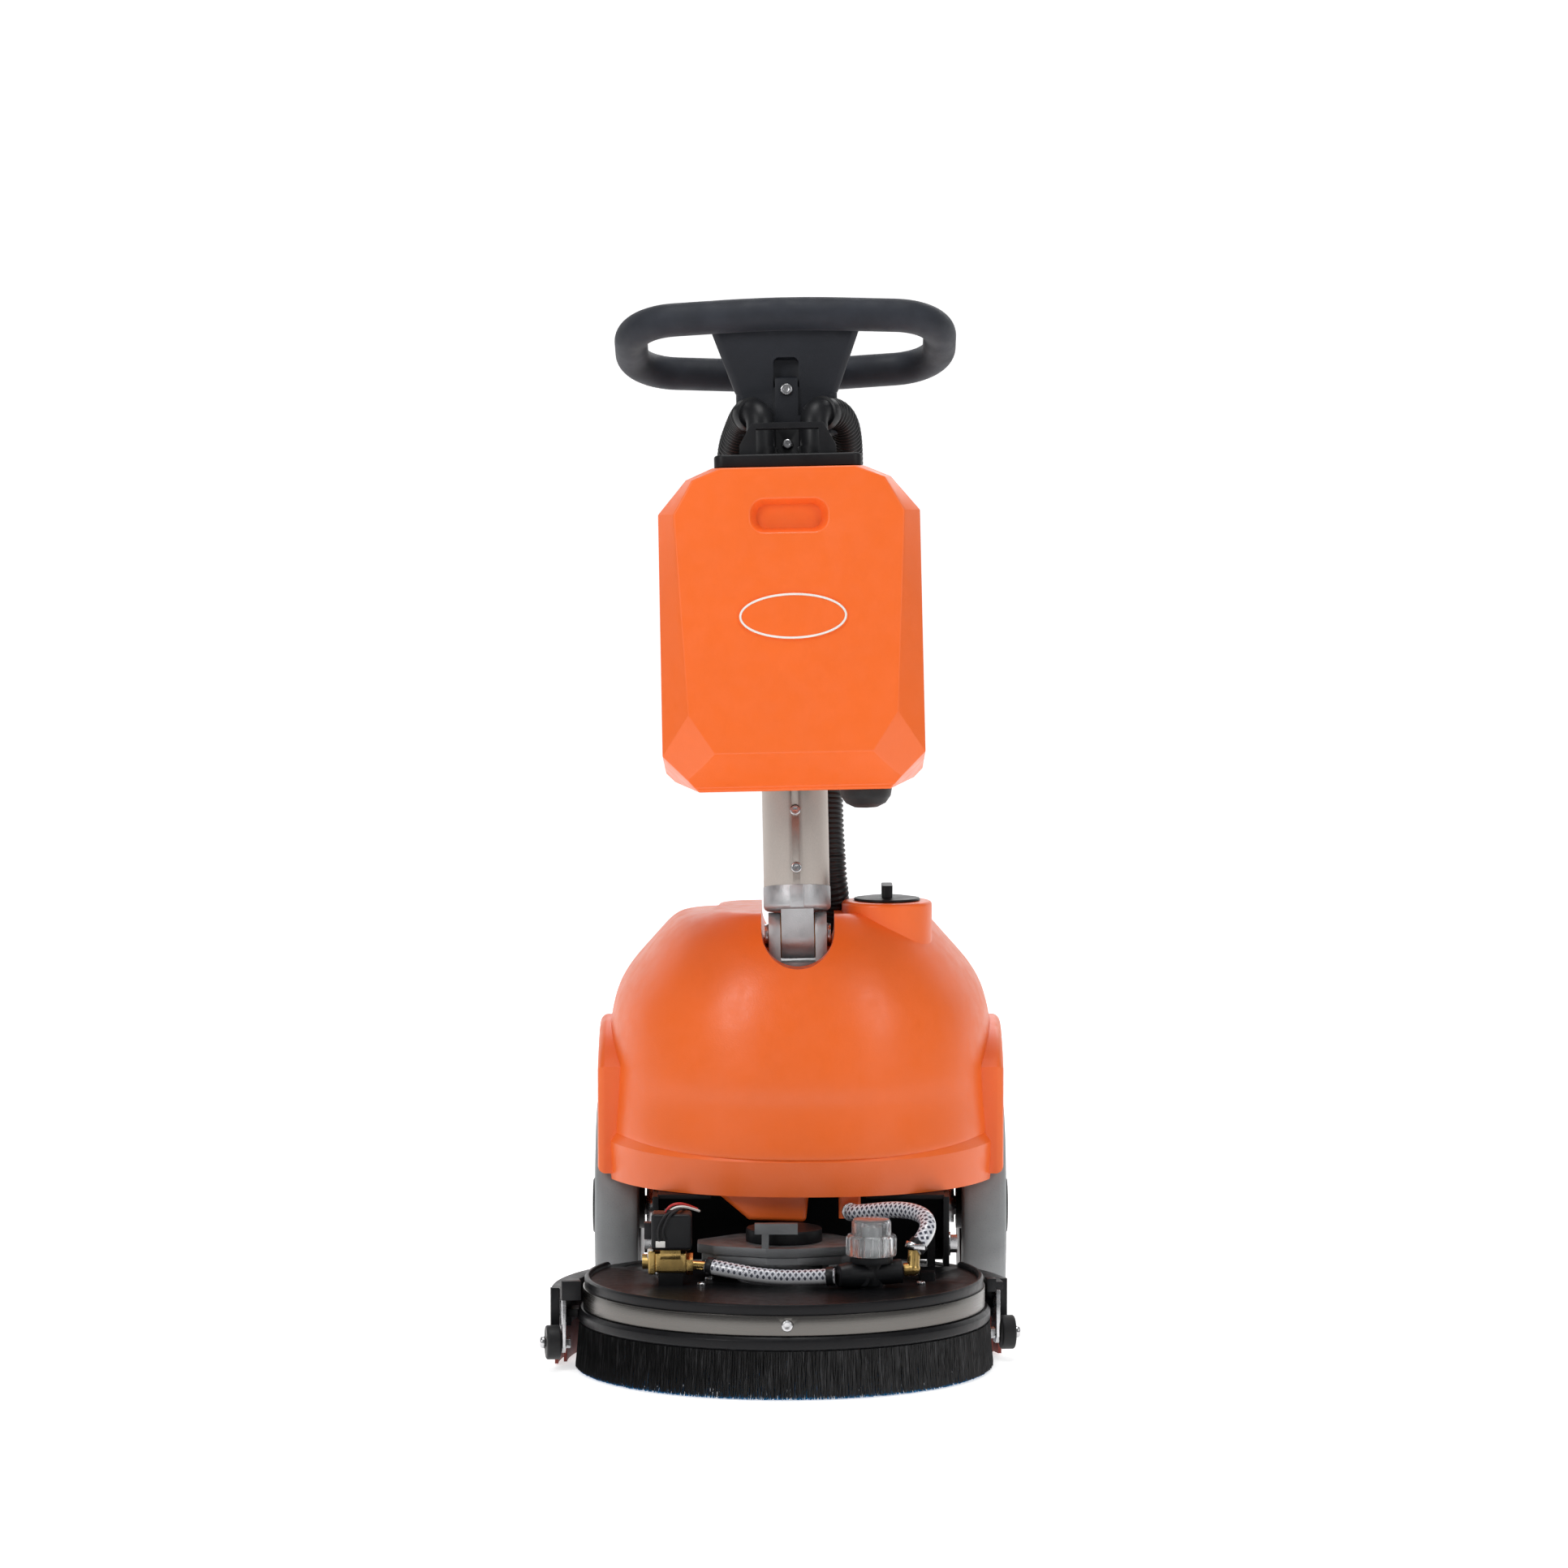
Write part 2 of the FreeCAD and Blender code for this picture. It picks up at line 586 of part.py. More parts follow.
def filter_head():
    """Black tee under the bowl, with an arm to each side and a foot on the cover."""
    x, y = FILTER
    body = Part.makeCylinder(12.5, 24, V(x, y, 90))
    top = Part.makeCylinder(21, 7, V(x, y, 112))
    left = turned([(0, 0), (12.4, 0), (13, 3), (13, 24), (11, 34), (9.6, 35), (0, 35)])
    left.Placement = FreeCAD.Placement(V(x, y, 100), FreeCAD.Rotation(V(0, 0, 1), V(-36, -12, 0)))
    right = rod((x, y, 101), (x + 30, y + 2, 103), 12.0)
    foot = box(x - 11, x + 11, y - 9, y + 9, COVER_TOP, 91)
    nose = rod((x - 8, y - 14, 96), (x - 2, y, 96), 6)
    return on_deck(union([body, top, left, right, foot, nose]))


def filter_bowl():
    x, y = FILTER
    nut = turned([(19, 119.2), (24, 119.2), (25, 121), (25, 137), (23, 139.5), (19, 139.5)], FILTER)
    flutes = [rod((x + 26 * math.cos(a), y + 26 * math.sin(a), 119), (x + 26 * math.cos(a), y + 26 * math.sin(a),
              139), 1.8) for a in [math.radians(15 * k) for k in range(24)]]
    cup = turned([(16, 119.2), (19.6, 119.2), (19.6, 152), (17.5, 155), (0, 155), (0, 152.5), (16, 152)], FILTER)
    return on_deck(union([nut.cut(union(flutes)), cup]))


def filter_strainer():
    x, y = FILTER
    return on_deck(ring(FILTER, 119.4, 148, 10, 8.6))


def brass_elbow():
    """Brass elbow from the filter's right arm up into the feed hose."""
    x, y = FILTER
    start = (x + 32, y + 2, 104)
    corner = (x + 41, y + 2.4, 105)
    end = (128, -56, 124)
    arm = rod(start, corner, 6.5)
    rise = rod(corner, end, 6.0)
    knuckle = Part.makeSphere(7.0, V(*corner))
    return on_deck(union([arm, rise, knuckle]))


# ---- brush ----------------------------------------------------------------------------------------
def brush_disc():
    disc = turned([(0, 34), (BRUSH_R, 34), (BRUSH_R, 44), (176, 50), (0, 50)])
    hub = Part.makeCylinder(40, 14, V(0, 0, 48))
    shaft = Part.makeCylinder(14, 60, V(0, 0, 60))
    ribs = []
    for k in range(8):
        rib = box(30, 172, -3, 3, 49, 57)
        rib.rotate(V(0, 0, 0), V(0, 0, 1), 45 * k)
        ribs.append(rib)
    return on_deck(union([disc, hub, shaft] + ribs))


def brush_bristles():
    return on_deck(turned([(118, 34), (BRUSH_R - 1, 34), (198, 12), (204.5, 0), (112, 0)]))


# ---- squeegee -------------------------------------------------------------------------------------
def squeegee_ring():
    inner, outer = RING_R
    z0, z1 = RING_Z
    profile = [(inner, z0), (outer - 3, z0), (outer, z0 + 4), (outer, z1 - 4), (outer - 3, z1 - 0.4), (inner, z1 - 0.4)]
    body = turned(profile)
    brackets = []
    for angle in (8, 60, 90, 120, 172):
        arm = box(202, 216, -12, 12, 50, 58)
        arm.rotate(V(0, 0, 0), V(0, 0, 1), angle)
        brackets.append(arm)
    return on_deck(union([body] + brackets), SWING)


def ring_skirt():
    """Black bristle skirt under the front of the ring, splayed a little."""
    profile = [(199.2, 46), (204.5, 46), (206.8, 26), (209.2, SKIRT_BOTTOM), (206.6, SKIRT_BOTTOM), (203.4, 26)]
    skirt = turned(profile)
    return on_deck(skirt.common(box(-230, 230, -230, 8, -5, 60)), SWING)


def half_ring(z0, z1, outer, inner, angle0=8.5, angle1=171.5):
    face = Part.Face(Part.makePolygon([V(inner, 0, z0), V(outer, 0, z0), V(outer, 0, z1), V(inner, 0, z1),
                                       V(inner, 0, z0)]))
    face.rotate(V(0, 0, 0), V(0, 0, 1), angle0)
    return face.revolve(V(0, 0, 0), V(0, 0, 1), angle1 - angle0)


def squeegee_channel():
    """Half-round suction channel with its outlet spigot and the block at each end."""
    inner, outer = SQUEEGEE_R
    roof = half_ring(74, 78, outer, inner)
    walls = [half_ring(40, 78, inner + 3, inner), half_ring(40, 78, outer, outer - 3)]
    spigot = pipe_piece((0, 222, 77), (0, 222, 112), 17, 13)
    spigot = spigot.fuse(pipe_piece((0, 222, 77), (0, 222, 86), 21, 13))
    blocks = [box(-223, -204, -10, 8, 71, 90), box(204, 213, -6, 8, 70, 83), box(-222, -206, 6, 44, 71, 78),
              box(206, 222, 6, 44, 71, 78)]
    ends = [box(-230, -209.6, 27, 34, 40, 78), box(209.6, 230, 27, 34, 40, 78)]
    shape = union([roof] + walls + blocks + ends + [spigot])
    return on_deck(shape.cut(rod((0, 222, 60), (0, 222, 120), 13)), SWING)


def squeegee_blades():
    inner, outer = SQUEEGEE_R
    blades = [half_ring(3, 60, inner + 6.2, inner + 3.0), half_ring(1, 60, outer - 3.0, outer - 6.4)]
    return Part.makeCompound([on_deck(blade, SWING) for blade in blades])


def end_plates():
    """Silver plate at each end of the squeegee with the stub axle of its roller."""
    plates = []
    for side, x0, x1 in ((-1, -222.0, -218.0), (1, 213.5, 217.5)):
        middle = 10.0
        corners = [(x0, middle - 14, 70.9), (x0, middle + 13, 70.9), (x0, middle + 15, 24), (x0, middle + 8, 17),
                   (x0, middle - 8, 17), (x0, middle - 15, 24)]
        plate = prism(corners, (x1 - x0, 0, 0))
        face_x = x0 if side < 0 else x1
        stub = rod((face_x, middle - 6, ROLLER_Z), (face_x + side * 19, middle - 6, ROLLER_Z), 4.0)
        nut = rod((face_x + side * 16.6, middle - 6, ROLLER_Z), (face_x + side * 21.5, middle - 6, ROLLER_Z), 6.0)
        nut = soften(nut, 2.6, lambda e, s=side, f=face_x: abs(e.CenterOfMass.x - f - s * 21.5) < 0.1)
        inner_x = x1 if side < 0 else x0
        bolt = hex_head((inner_x, middle - 6, ROLLER_Z), (-side, 0, 0), 11, 5)
        plates.append(on_deck(union([plate, stub, nut, bolt]), SWING))
    return Part.makeCompound(plates)


def roller(side):
    face_x = -222.0 if side < 0 else 217.5
    start = (face_x + side * 1.4, 4, ROLLER_Z)
    end = (face_x + side * 15.6, 4, ROLLER_Z)
    body = soften(rod(start, end, ROLLER_R), 2.2, lambda e: e.Length > 60)
    return on_deck(body.cut(rod(start, end, 4.0 + RUN)), SWING)


# ---- column ---------------------------------------------------------------------------------------
def column_tube():
    return leaned(ring((0, 0), 49, 548, TUBE_R, TUBE_R - 3))


def column_collar():
    """Cast end of the column: cup with a rib, and the tongue on the fold pin."""
    cup = Part.makeCylinder(TUBE_R + 0.6, 24, V(0, 0, 25))
    cup = soften(cup, 5.0, lambda e: e.CenterOfMass.z < 26)
    spigot = Part.makeCylinder(TUBE_R - 3, 40, V(0, 0, 48))
    rib = soften(box(-7, 7, -TUBE_R - 1.6, 0, 26, 48), 1.0, upright)
    tongue = union([rod((-TONGUE_W, 0, 0), (TONGUE_W, 0, 0), 23.5), box(-TONGUE_W, TONGUE_W, -23.5, 23.5, 0, 34)])
    return leaned(union([cup, spigot, rib, tongue]).cut(rod((-40, 0, 0), (40, 0, 0), PIN_R + RUN)))


def column_screws():
    screws = [pan_screw((0, -TUBE_R + 0.2, z), (0, -1, 0), 5.4, 2.6, 3.2) for z in (66, 124.5)]
    screws.append(pan_screw((0, -44.4, 553), (0, -1, 0), 6.2, 3.4, 5.0))
    screws.append(pan_screw((0, -62.2, 494), (0, -1, 0), 5.0, 3.0, 5.0))
    return Part.makeCompound([leaned(screw) for screw in screws])


def tank_cradle():
    """Clamp in the tank's rear channel, the plate that carries the tank's foot, and a hook at the top."""
    slope = math.tan(math.radians(LEAN))
    clamp = ring((0, 0), 166, 186, TUBE_R + 4, TUBE_R)
    tab = box(-12, 12, -TUBE_R - 3.8, -TUBE_R + 3, 146, 168)
    plate = box(-40, 40, -86, -TUBE_R - 3.8, -3.0, -0.4)
    plate.rotate(V(0, 0, 0), V(1, 0, 0), LEAN)
    plate.translate(V(0, 0, TANK_FOOT + 130 * slope))
    hook = box(-20, 20, -TUBE_R - 3.2, -TUBE_R + 4, 405, 440)
    bore = Part.makeCylinder(TUBE_R, 400, V(0, 0, 100))
    return Part.makeCompound([leaned(union([clamp, tab]).cut(bore)), leaned(plate), leaned(hook.cut(bore))])


def vacuum_housing():
    can = soften(Part.makeCylinder(52, 138, V(-14, 96, 272)), 10.0)
    saddle = union([box(-24, 24, 28, 60, 290, 310), box(-24, 24, 28, 60, 372, 392)])
    saddle = saddle.cut(Part.makeCylinder(TUBE_R, 200, V(0, 0, 250)))
    inlet = pipe_piece((-52, 58, 396), (-52, 58, 420), 19, 12)
    vents = [box(-70, 40, 140, 152, 290 + 9 * k, 294 + 9 * k) for k in range(9)]
    return leaned(union([can, saddle, inlet]).cut(union(vents)))


LEFT_HOSE = [(-41, -50, 526), (-44, -34, 525), (-49, -14, 517), (-55, 6, 505), (-57.5, 24, 490), (-57, 44, 464),
             (-55, 54, 440), (-53, 58, 418)]
RIGHT_HOSE = [(41, -50, 528), (50, -38, 529), (58, -18, 521), (61, 4, 507), (61.5, 28, 482), (61, 46, 452),
              (60, 51, 420), (58, 53, 380), (54, 55, 330), (48, 55, 280), (41, 55, 228), (35, 54, 176),
              (33, 53.5, 126), (35, 53, 84)]
HOSE_TOP = (35.01, 53, 83.8)
HOSE_NEXT = (36.14, 52.71, 60)
HOSE_FALL = [(35.0, 222, 440), (30.0, 233, 405), (26.0, 236, 372), (25.0, 236, 344)]


def return_hose():
    return leaned(tube(LEFT_HOSE, HOSE_R, HOSE_BORE, label="return hose"))


def suction_hose():
    return leaned(tube(RIGHT_HOSE, HOSE_R, HOSE_BORE, label="suction hose"))


def to_world(point):
    return leaned(Part.Vertex(*point)).Point


def suction_hose_lower():
    """Flexible end of the suction hose, over the fold joint and down into the tank's pocket."""
    points = [tuple(to_world(HOSE_TOP)), tuple(to_world(HOSE_NEXT))] + HOSE_FALL
    return tube(points, HOSE_R, HOSE_BORE, label="lower suction hose")


def ring_point(x, y):
    """A point of the grip's centre line, on the plane that falls towards the user."""
    return (x, y, GRIP_L - (y - 10.0) * math.tan(math.radians(GRIP_TILT)))


GRIP_CORNERS = [ring_point(x, y) for x, y in ((-158, -50), (0, -66), (158, -50), (158, 66), (0, 84), (-158, 66))]


def handle_grip():
    return leaned(tube(GRIP_CORNERS, GRIP_R, closed=True, label="grip ring", share=0.38))


def console_blank():
    """Trapezoid housing between the neck and the two bars of the grip."""
    top = [(-79, -54), (79, -54), (60, 66), (-60, 66)]
    top_wire = Part.makePolygon([V(*ring_point(x, y)) - V(0, 0, 3) for x, y in top + top[:1]])
    low = [(-52, -40), (52, -40), (46, 38), (-46, 38)]
    low_wire = Part.makePolygon([V(x, y, 549) for x, y in low + low[:1]])
    return Part.makeLoft([top_wire, low_wire], True, True)


def handle_console():
    head = soften(console_blank(), 7.0, lambda e: abs(e.CenterOfMass.x) > 44 and e.CenterOfMass.z < 600)
    neck = soften(box(-51.5, 51.5, -40, 38, 508, 552), 9.0, upright)
    slot = soften(box(-13, 13, -80, -30, 556, 586), 6.0, lambda e: e.CenterOfMass.z > 580)
    slot = slot.common(box(-20, 20, -80, -33, 540, 600))
    tongue = soften(box(-11.6, 11.6, -44.4, -36, 511, 567), 8.0, lambda e: e.CenterOfMass.z > 560)
    tongue = tongue.fuse(box(-19, 19, -44.4, -38, 511, 526))
    grip_room = tube(GRIP_CORNERS, GRIP_R, closed=True, share=0.38)
    hose_room = [tube(points, HOSE_R + 1.0) for points in (LEFT_HOSE, RIGHT_HOSE)]
    wells = [ring_space(x, y, r, 8.0) for x, y, r in BUTTONS]
    shape = union([head, neck]).cut(slot)
    shape = union([shape, tongue]).cut(grip_room)
    shape = shape.cut(Part.makeCylinder(TUBE_R, 60, V(0, 0, 490)))
    shape = shape.cut(union(wells + [lever_room()]))
    shape = shape.cut(union(hose_room))
    biggest = max(shape.Solids, key=lambda solid: solid.Volume)
    return leaned(biggest)


BUTTONS = ((-34.0, 18.0, 9.0), (0.0, 18.0, 9.0), (34.0, 18.0, 9.0))


def tilted(shape, x, y):
    """Stand a piece drawn at the origin on the console's sloping top at (x, y)."""
    result = shape.copy()
    result.rotate(V(0, 0, 0), V(1, 0, 0), -GRIP_TILT)
    result.translate(V(*ring_point(x, y)) - V(0, 0, 3))
    return result


def ring_space(x, y, radius, depth):
    return tilted(Part.makeCylinder(radius + 0.5, depth + 20, V(0, 0, -depth)), x, y)


def control_panel():
    """Thin panel with a bezel on top of the console."""
    plate = soften(box(-52, 52, -26, 36, 0, 2.4), 8.0, upright)
    panel = tilted(plate, 0, 2)
    holes = [ring_space(x, y, r, 4.0) for x, y, r in BUTTONS]
    return leaned(panel.cut(union(holes)))


def display_lens():
    return leaned(tilted(soften(box(-30, 30, -12, 6, 2.4, 4.0), 3.0, upright), 0, -6))


def button(index):
    x, y, radius = BUTTONS[index]
    cap = soften(Part.makeCylinder(radius, 10.5, V(0, 0, -5)), 1.6, lambda e: e.CenterOfMass.z > 5)
    return leaned(tilted(cap, x, y))


LEVER = (0.0, 58.0, 560.0)


def lever_room():
    x, y, z = LEVER
    return box(-30.6, 30.6, 24, 90, z - 9, z + 8)


def dead_man_lever():
    """Paddle under the rear of the console, on a cross pin."""
    x, y, z = LEVER
    barrel = rod((-30, y - 26, z), (30, y - 26, z), 6.0)
    paddle = box(-28, 28, y - 26, y + 12, z - 4, z + 2)
    lip = soften(box(-28, 28, y + 8, y + 15, z - 16, z + 2), 2.5)
    return leaned(union([barrel, paddle, lip]))


def tank_lid():
    """Lid over the recovery tank, held by a strap from the column."""
    low = TANK_TOP + LID_GAP
    plate = soften(box(-74, 74, -143, -40, low, LID_TOP), 10.0, upright)
    plate = soften(plate, 2.5, lambda e: e.CenterOfMass.z > LID_TOP - 0.5)
    strap = box(-14, 14, -62, -44, LID_TOP - 1, 510)
    strap = soften(strap, 3.0, upright)
    foot = box(-19, 19, -46, -42, 486, 508)
    ports = [Part.makeCylinder(11, 40, V(s * 27, -76, 455)) for s in (-1, 1)]
    return leaned(union([plate, strap, foot]).cut(union(ports)))


def lid_bracket():
    """Trapezoid lifting frame on the front of the lid."""
    outer = prism([(-48.5, -132, LID_TOP), (48.5, -132, LID_TOP), (48.5, -132, 482), (36, -132, 505),
                   (-36, -132, 505), (-48.5, -132, 482)], (0, 9, 0))
    window = box(-31.6, 31.6, -140, -110, LID_TOP + 1, 499)
    outer = outer.cut(window)
    feet = box(-48.5, 48.5, -132, -108, LID_TOP, LID_TOP + 1.6)
    gussets = [box(s * 44 - 1.5, s * 44 + 1.5, -124, -108, LID_TOP, 486) for s in (-1, 1)]
    return leaned(union([outer, feet] + gussets))


def lid_elbows():
    """Two elbows that carry the hoses off the lid."""
    pieces = []
    for s in (-1, 1):
        path = [(s * 27, -76, LID_TOP + 0.1), (s * 27, -76, 526), (s * 42.4, -48, 526)]
        pipe = tube(path, 14.2, 10.6)
        collar = pipe_piece((s * 27, -76, 476), (s * 27, -76, 488), 17, 14)
        cuff = pipe_piece((s * 34.6, -62.2, 526), (s * 40.0, -52.4, 526), 17.0, 14.0)
        pieces.append(leaned(union([pipe, collar, cuff])))
    return Part.makeCompound(pieces)


# ---- recovery tank --------------------------------------------------------------------------------
def face_wire(half, y, top, foot, shoulder, corner, neck):
    """Eight-sided outline of the tank at depth y."""
    points = [(-neck, top), (neck, top), (half - shoulder * 0.62, top - shoulder * 0.25), (half, top - shoulder),
              (half, foot + corner), (half - corner, foot), (-half + corner, foot), (-half, foot + corner),
              (-half, top - shoulder), (-half + shoulder * 0.62, top - shoulder * 0.25)]
    return Part.makePolygon([V(x, y, z) for x, z in points + points[:1]])


def tank_shell(inset=0.0):
    half = TANK_HALF - inset
    top = TANK_TOP - inset
    foot = TANK_FOOT + inset
    front = TANK_FRONT + inset
    rear = TANK_REAR - inset
    right = [(66, top - 4), (96, top - 16), (half - 16, top - 50), (half - 27, foot + 74), (half - 53, foot + 34)]
    nose_points = [(-x, z) for x, z in right[:1]] + right + [(-x, z) for x, z in right[:0:-1]]
    nose = Part.makePolygon([V(x, front, z) for x, z in nose_points + nose_points[:1]])
    shoulder = face_wire(half, front + 27, top, foot, 46, 36, 76)
    back = face_wire(half, rear, top, foot, 46, 36, 76)
    front_part = Part.makeLoft([nose, shoulder], True, True)
    rear_part = Part.makeLoft([shoulder, back], True, True)
    # chamfer below the front face, and the foot, which is level when the column leans
    wedge = prism([(-200, front - 5, foot + 39), (-200, front + 35, foot + 5), (-200, front + 35, foot - 60),
                   (-200, front - 5, foot - 60)], (400, 0, 0))
    level = box(-200, 200, -300, 300, -80, 0)
    level.rotate(V(0, 0, 0), V(1, 0, 0), LEAN)
    level.translate(V(0, 0, foot + (130 - inset) * math.tan(math.radians(LEAN))))
    shape = union([front_part, rear_part]).cut(wedge)
    return shape.cut(level)


def column_room(grow=0.0):
    half = TUBE_R + 4.5 + grow
    return box(-half, half, -TUBE_R - 5 - grow, 200, 100, 600)


BADGE_L = 305.0


def rounded_slot(y, half, low, high):
    """Rounded rectangle in the plane of the tank's front."""
    r = (high - low) * 0.42
    corners = [V(-half, y, low), V(half, y, low), V(half, y, high), V(-half, y, high)]
    plate = Part.Face(Part.makePolygon(corners + corners[:1])).extrude(V(0, 1, 0))
    plate = plate.makeFillet(r, [e for e in plate.Edges if abs(e.CenterOfMass.y - y - 0.5) < 0.1])
    face = min(plate.Faces, key=lambda f: f.CenterOfMass.y)
    return face.OuterWire


def finger_recess():
    """Recess with sloping walls, to pull the tank forward by."""
    return Part.makeLoft([rounded_slot(TANK_FRONT - 1.0, 39.5, 388.5, 423.5),
                          rounded_slot(TANK_FRONT + 13.0, 32.5, 395.0, 419.0)], True, True)


def recovery_tank():
    outer = tank_shell().cut(column_room())
    outer = soften(outer, 9.0, lambda e: e.CenterOfMass.y < -20 and abs(e.CenterOfMass.x) > 4
                   or (e.CenterOfMass.y < -100))
    inner = tank_shell(TANK_WALL + 1).cut(column_room(TANK_WALL))
    grip = finger_recess()
    pocket = box(-44, 44, TANK_FRONT - 1, TANK_FRONT + 20, 384, 428)
    inner = inner.cut(pocket)
    mouth = [Part.makeCylinder(30, 30, V(s * 36, -92, TANK_TOP - 20)) for s in (-1, 1)]
    mouth.append(box(-36, 36, -122, -62, TANK_TOP - 20, TANK_TOP + 10))
    badge = Part.Ellipse(V(0, 0, 0), 55, 24).toShape()
    badge = Part.Face(Part.Wire(badge)).extrude(V(0, 0, 2))
    badge.rotate(V(0, 0, 0), V(1, 0, 0), 90)
    badge.translate(V(2, TANK_FRONT + 1.2, BADGE_L))
    shell = outer.cut(inner).cut(union(mouth)).cut(grip)
    shell = soften(shell, 2.5, lambda e: abs(e.BoundBox.YMax - TANK_FRONT) < 0.3 and e.BoundBox.ZMin > 380
                   and e.BoundBox.ZMax < 430 and e.BoundBox.XMax < 41 and e.BoundBox.XMin > -41)
    return leaned(shell.fuse(badge))


def drain_cap():
    """Domed drain cap under the right of the recovery tank."""
    cap = turned([(0, -21), (12, -20), (20, -16), (25, -9), (26.5, -1.0), (26.5, -0.4), (0, -0.4)])
    cap.rotate(V(0, 0, 0), V(1, 0, 0), LEAN)
    drop = TANK_FOOT + (130 - 96) * math.tan(math.radians(LEAN))
    cap.translate(V(71, -96, drop))
    return leaned(cap)


# ---- assembly -------------------------------------------------------------------------------------
MAKERS = {
    "base_frame": base_frame, "wheel_axle": wheel_axle, "hinge_yoke": hinge_yoke, "fold_pin": fold_pin,
    "thrust_washers": thrust_washers, "clean_water_tank": clean_water_tank, "battery_pack": battery_pack,
    "controller_box": controller_box, "float_bolts": float_bolts, "suction_hose_lower": suction_hose_lower,
    "filler_cap": filler_cap,
    "tyre_left": lambda: tyre(-1), "tyre_right": lambda: tyre(1),
    "rim_left": lambda: rim(-1), "rim_right": lambda: rim(1),
    "deck_pan": deck_pan, "deck_cover": deck_cover, "deck_band": deck_band, "deck_screws": deck_screws,
    "gearbox": gearbox, "brush_motor": brush_motor, "valve_body": valve_body, "valve_coil": valve_coil,
    "valve_wires": valve_wires, "supply_hose": supply_hose, "feed_hose": feed_hose,
    "hose_clamps": hose_clamps, "filter_head": filter_head, "filter_bowl": filter_bowl,
    "filter_strainer": filter_strainer, "brass_elbow": brass_elbow,
    "brush_disc": brush_disc, "brush_bristles": brush_bristles,
    "squeegee_ring": squeegee_ring, "ring_skirt": ring_skirt, "squeegee_channel": squeegee_channel,
    "squeegee_blades": squeegee_blades, "end_plates": end_plates,
    "roller_left": lambda: roller(-1), "roller_right": lambda: roller(1),
    "column_tube": column_tube, "column_collar": column_collar, "column_screws": column_screws,
    "tank_cradle": tank_cradle, "vacuum_housing": vacuum_housing, "return_hose": return_hose,
    "suction_hose": suction_hose, "handle_grip": handle_grip, "handle_console": handle_console,
    "control_panel": control_panel, "display_lens": display_lens, "tank_lid": tank_lid,
    "lid_bracket": lid_bracket, "lid_elbows": lid_elbows,
    "button_brush": lambda: button(0), "button_water": lambda: button(1), "button_suction": lambda: button(2),
    "dead_man_lever": dead_man_lever, "recovery_tank": recovery_tank, "drain_cap": drain_cap,
}

for name, make in MAKERS.items():
    parts[name] = make()

# pieces that are let into others, screws in their holes and hoses on their spigots
CARVED = (
    ("clean_water_tank", "base_frame"), ("clean_water_tank", "feed_hose"), ("feed_hose", "brass_elbow"),
    ("filter_head", "brass_elbow"), ("column_tube", "column_screws"), ("column_collar", "column_screws"),
    ("handle_console", "column_screws"), ("tank_lid", "column_screws"), ("tank_lid", "handle_console"),
    ("deck_band", "deck_screws"), ("deck_cover", "deck_screws"), ("deck_pan", "deck_screws"),
    ("hose_clamps", "filter_head"), ("filter_head", "supply_hose"), ("lid_elbows", "return_hose"),
    ("lid_elbows", "suction_hose"), ("vacuum_housing", "return_hose"), ("vacuum_housing", "suction_hose"),
    ("squeegee_channel", "end_plates"), ("squeegee_blades", "end_plates"), ("end_plates", "squeegee_ring"),
    ("squeegee_channel", "squeegee_ring"), ("squeegee_channel", "squeegee_blades"),
    ("squeegee_ring", "squeegee_blades"), ("valve_wires", "valve_coil"),
    ("clean_water_tank", "suction_hose_lower"), ("supply_hose", "valve_body"), ("hose_clamps", "supply_hose"), ("hose_clamps", "feed_hose"),
)
for host, tool in CARVED:
    carved = parts[host].cut(parts[tool])
    solids = [solid for solid in carved.Solids if solid.Volume > 5.0]
    parts[host] = solids[0] if len(solids) == 1 else Part.makeCompound(solids)

whole = Part.makeCompound(list(parts.values())).BoundBox
shift = V(-(whole.XMin + whole.XMax) / 2, -(whole.YMin + whole.YMax) / 2, 0)
print("shift", round(shift.x, 4), round(shift.y, 4), "lowest", round(whole.ZMin, 3))
print("size", round(whole.XLength, 1), round(whole.YLength, 1), round(whole.ZLength, 1))

os.makedirs("parts", exist_ok=True)
for name, shape in parts.items():
    shape.translate(shift)
    if not shape.isValid() or not shape.Solids:
        print("CHECK", name, shape.isValid(), len(shape.Solids))
    shape.exportStep("parts/" + name + ".step")
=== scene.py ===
"""Looks of the walk-behind wet dry floor scrubber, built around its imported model. Metres, +Z up."""

import math
import random

import bpy
from mathutils import Matrix, Vector


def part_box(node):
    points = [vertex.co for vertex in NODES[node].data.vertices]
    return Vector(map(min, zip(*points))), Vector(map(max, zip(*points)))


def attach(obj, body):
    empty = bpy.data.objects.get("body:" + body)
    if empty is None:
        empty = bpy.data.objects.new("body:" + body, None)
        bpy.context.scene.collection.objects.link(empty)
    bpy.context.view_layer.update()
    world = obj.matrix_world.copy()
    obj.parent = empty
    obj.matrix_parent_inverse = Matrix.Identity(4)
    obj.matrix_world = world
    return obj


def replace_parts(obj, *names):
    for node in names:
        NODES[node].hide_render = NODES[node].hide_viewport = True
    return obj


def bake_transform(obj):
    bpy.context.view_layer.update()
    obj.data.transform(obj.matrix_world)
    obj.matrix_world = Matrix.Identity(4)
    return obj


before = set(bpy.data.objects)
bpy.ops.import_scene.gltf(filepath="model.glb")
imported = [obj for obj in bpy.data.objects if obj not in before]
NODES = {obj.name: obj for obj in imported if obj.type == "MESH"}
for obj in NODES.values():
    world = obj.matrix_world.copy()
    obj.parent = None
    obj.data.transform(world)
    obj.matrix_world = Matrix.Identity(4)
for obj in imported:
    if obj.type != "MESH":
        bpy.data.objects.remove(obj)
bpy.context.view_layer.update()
MM = 0.001


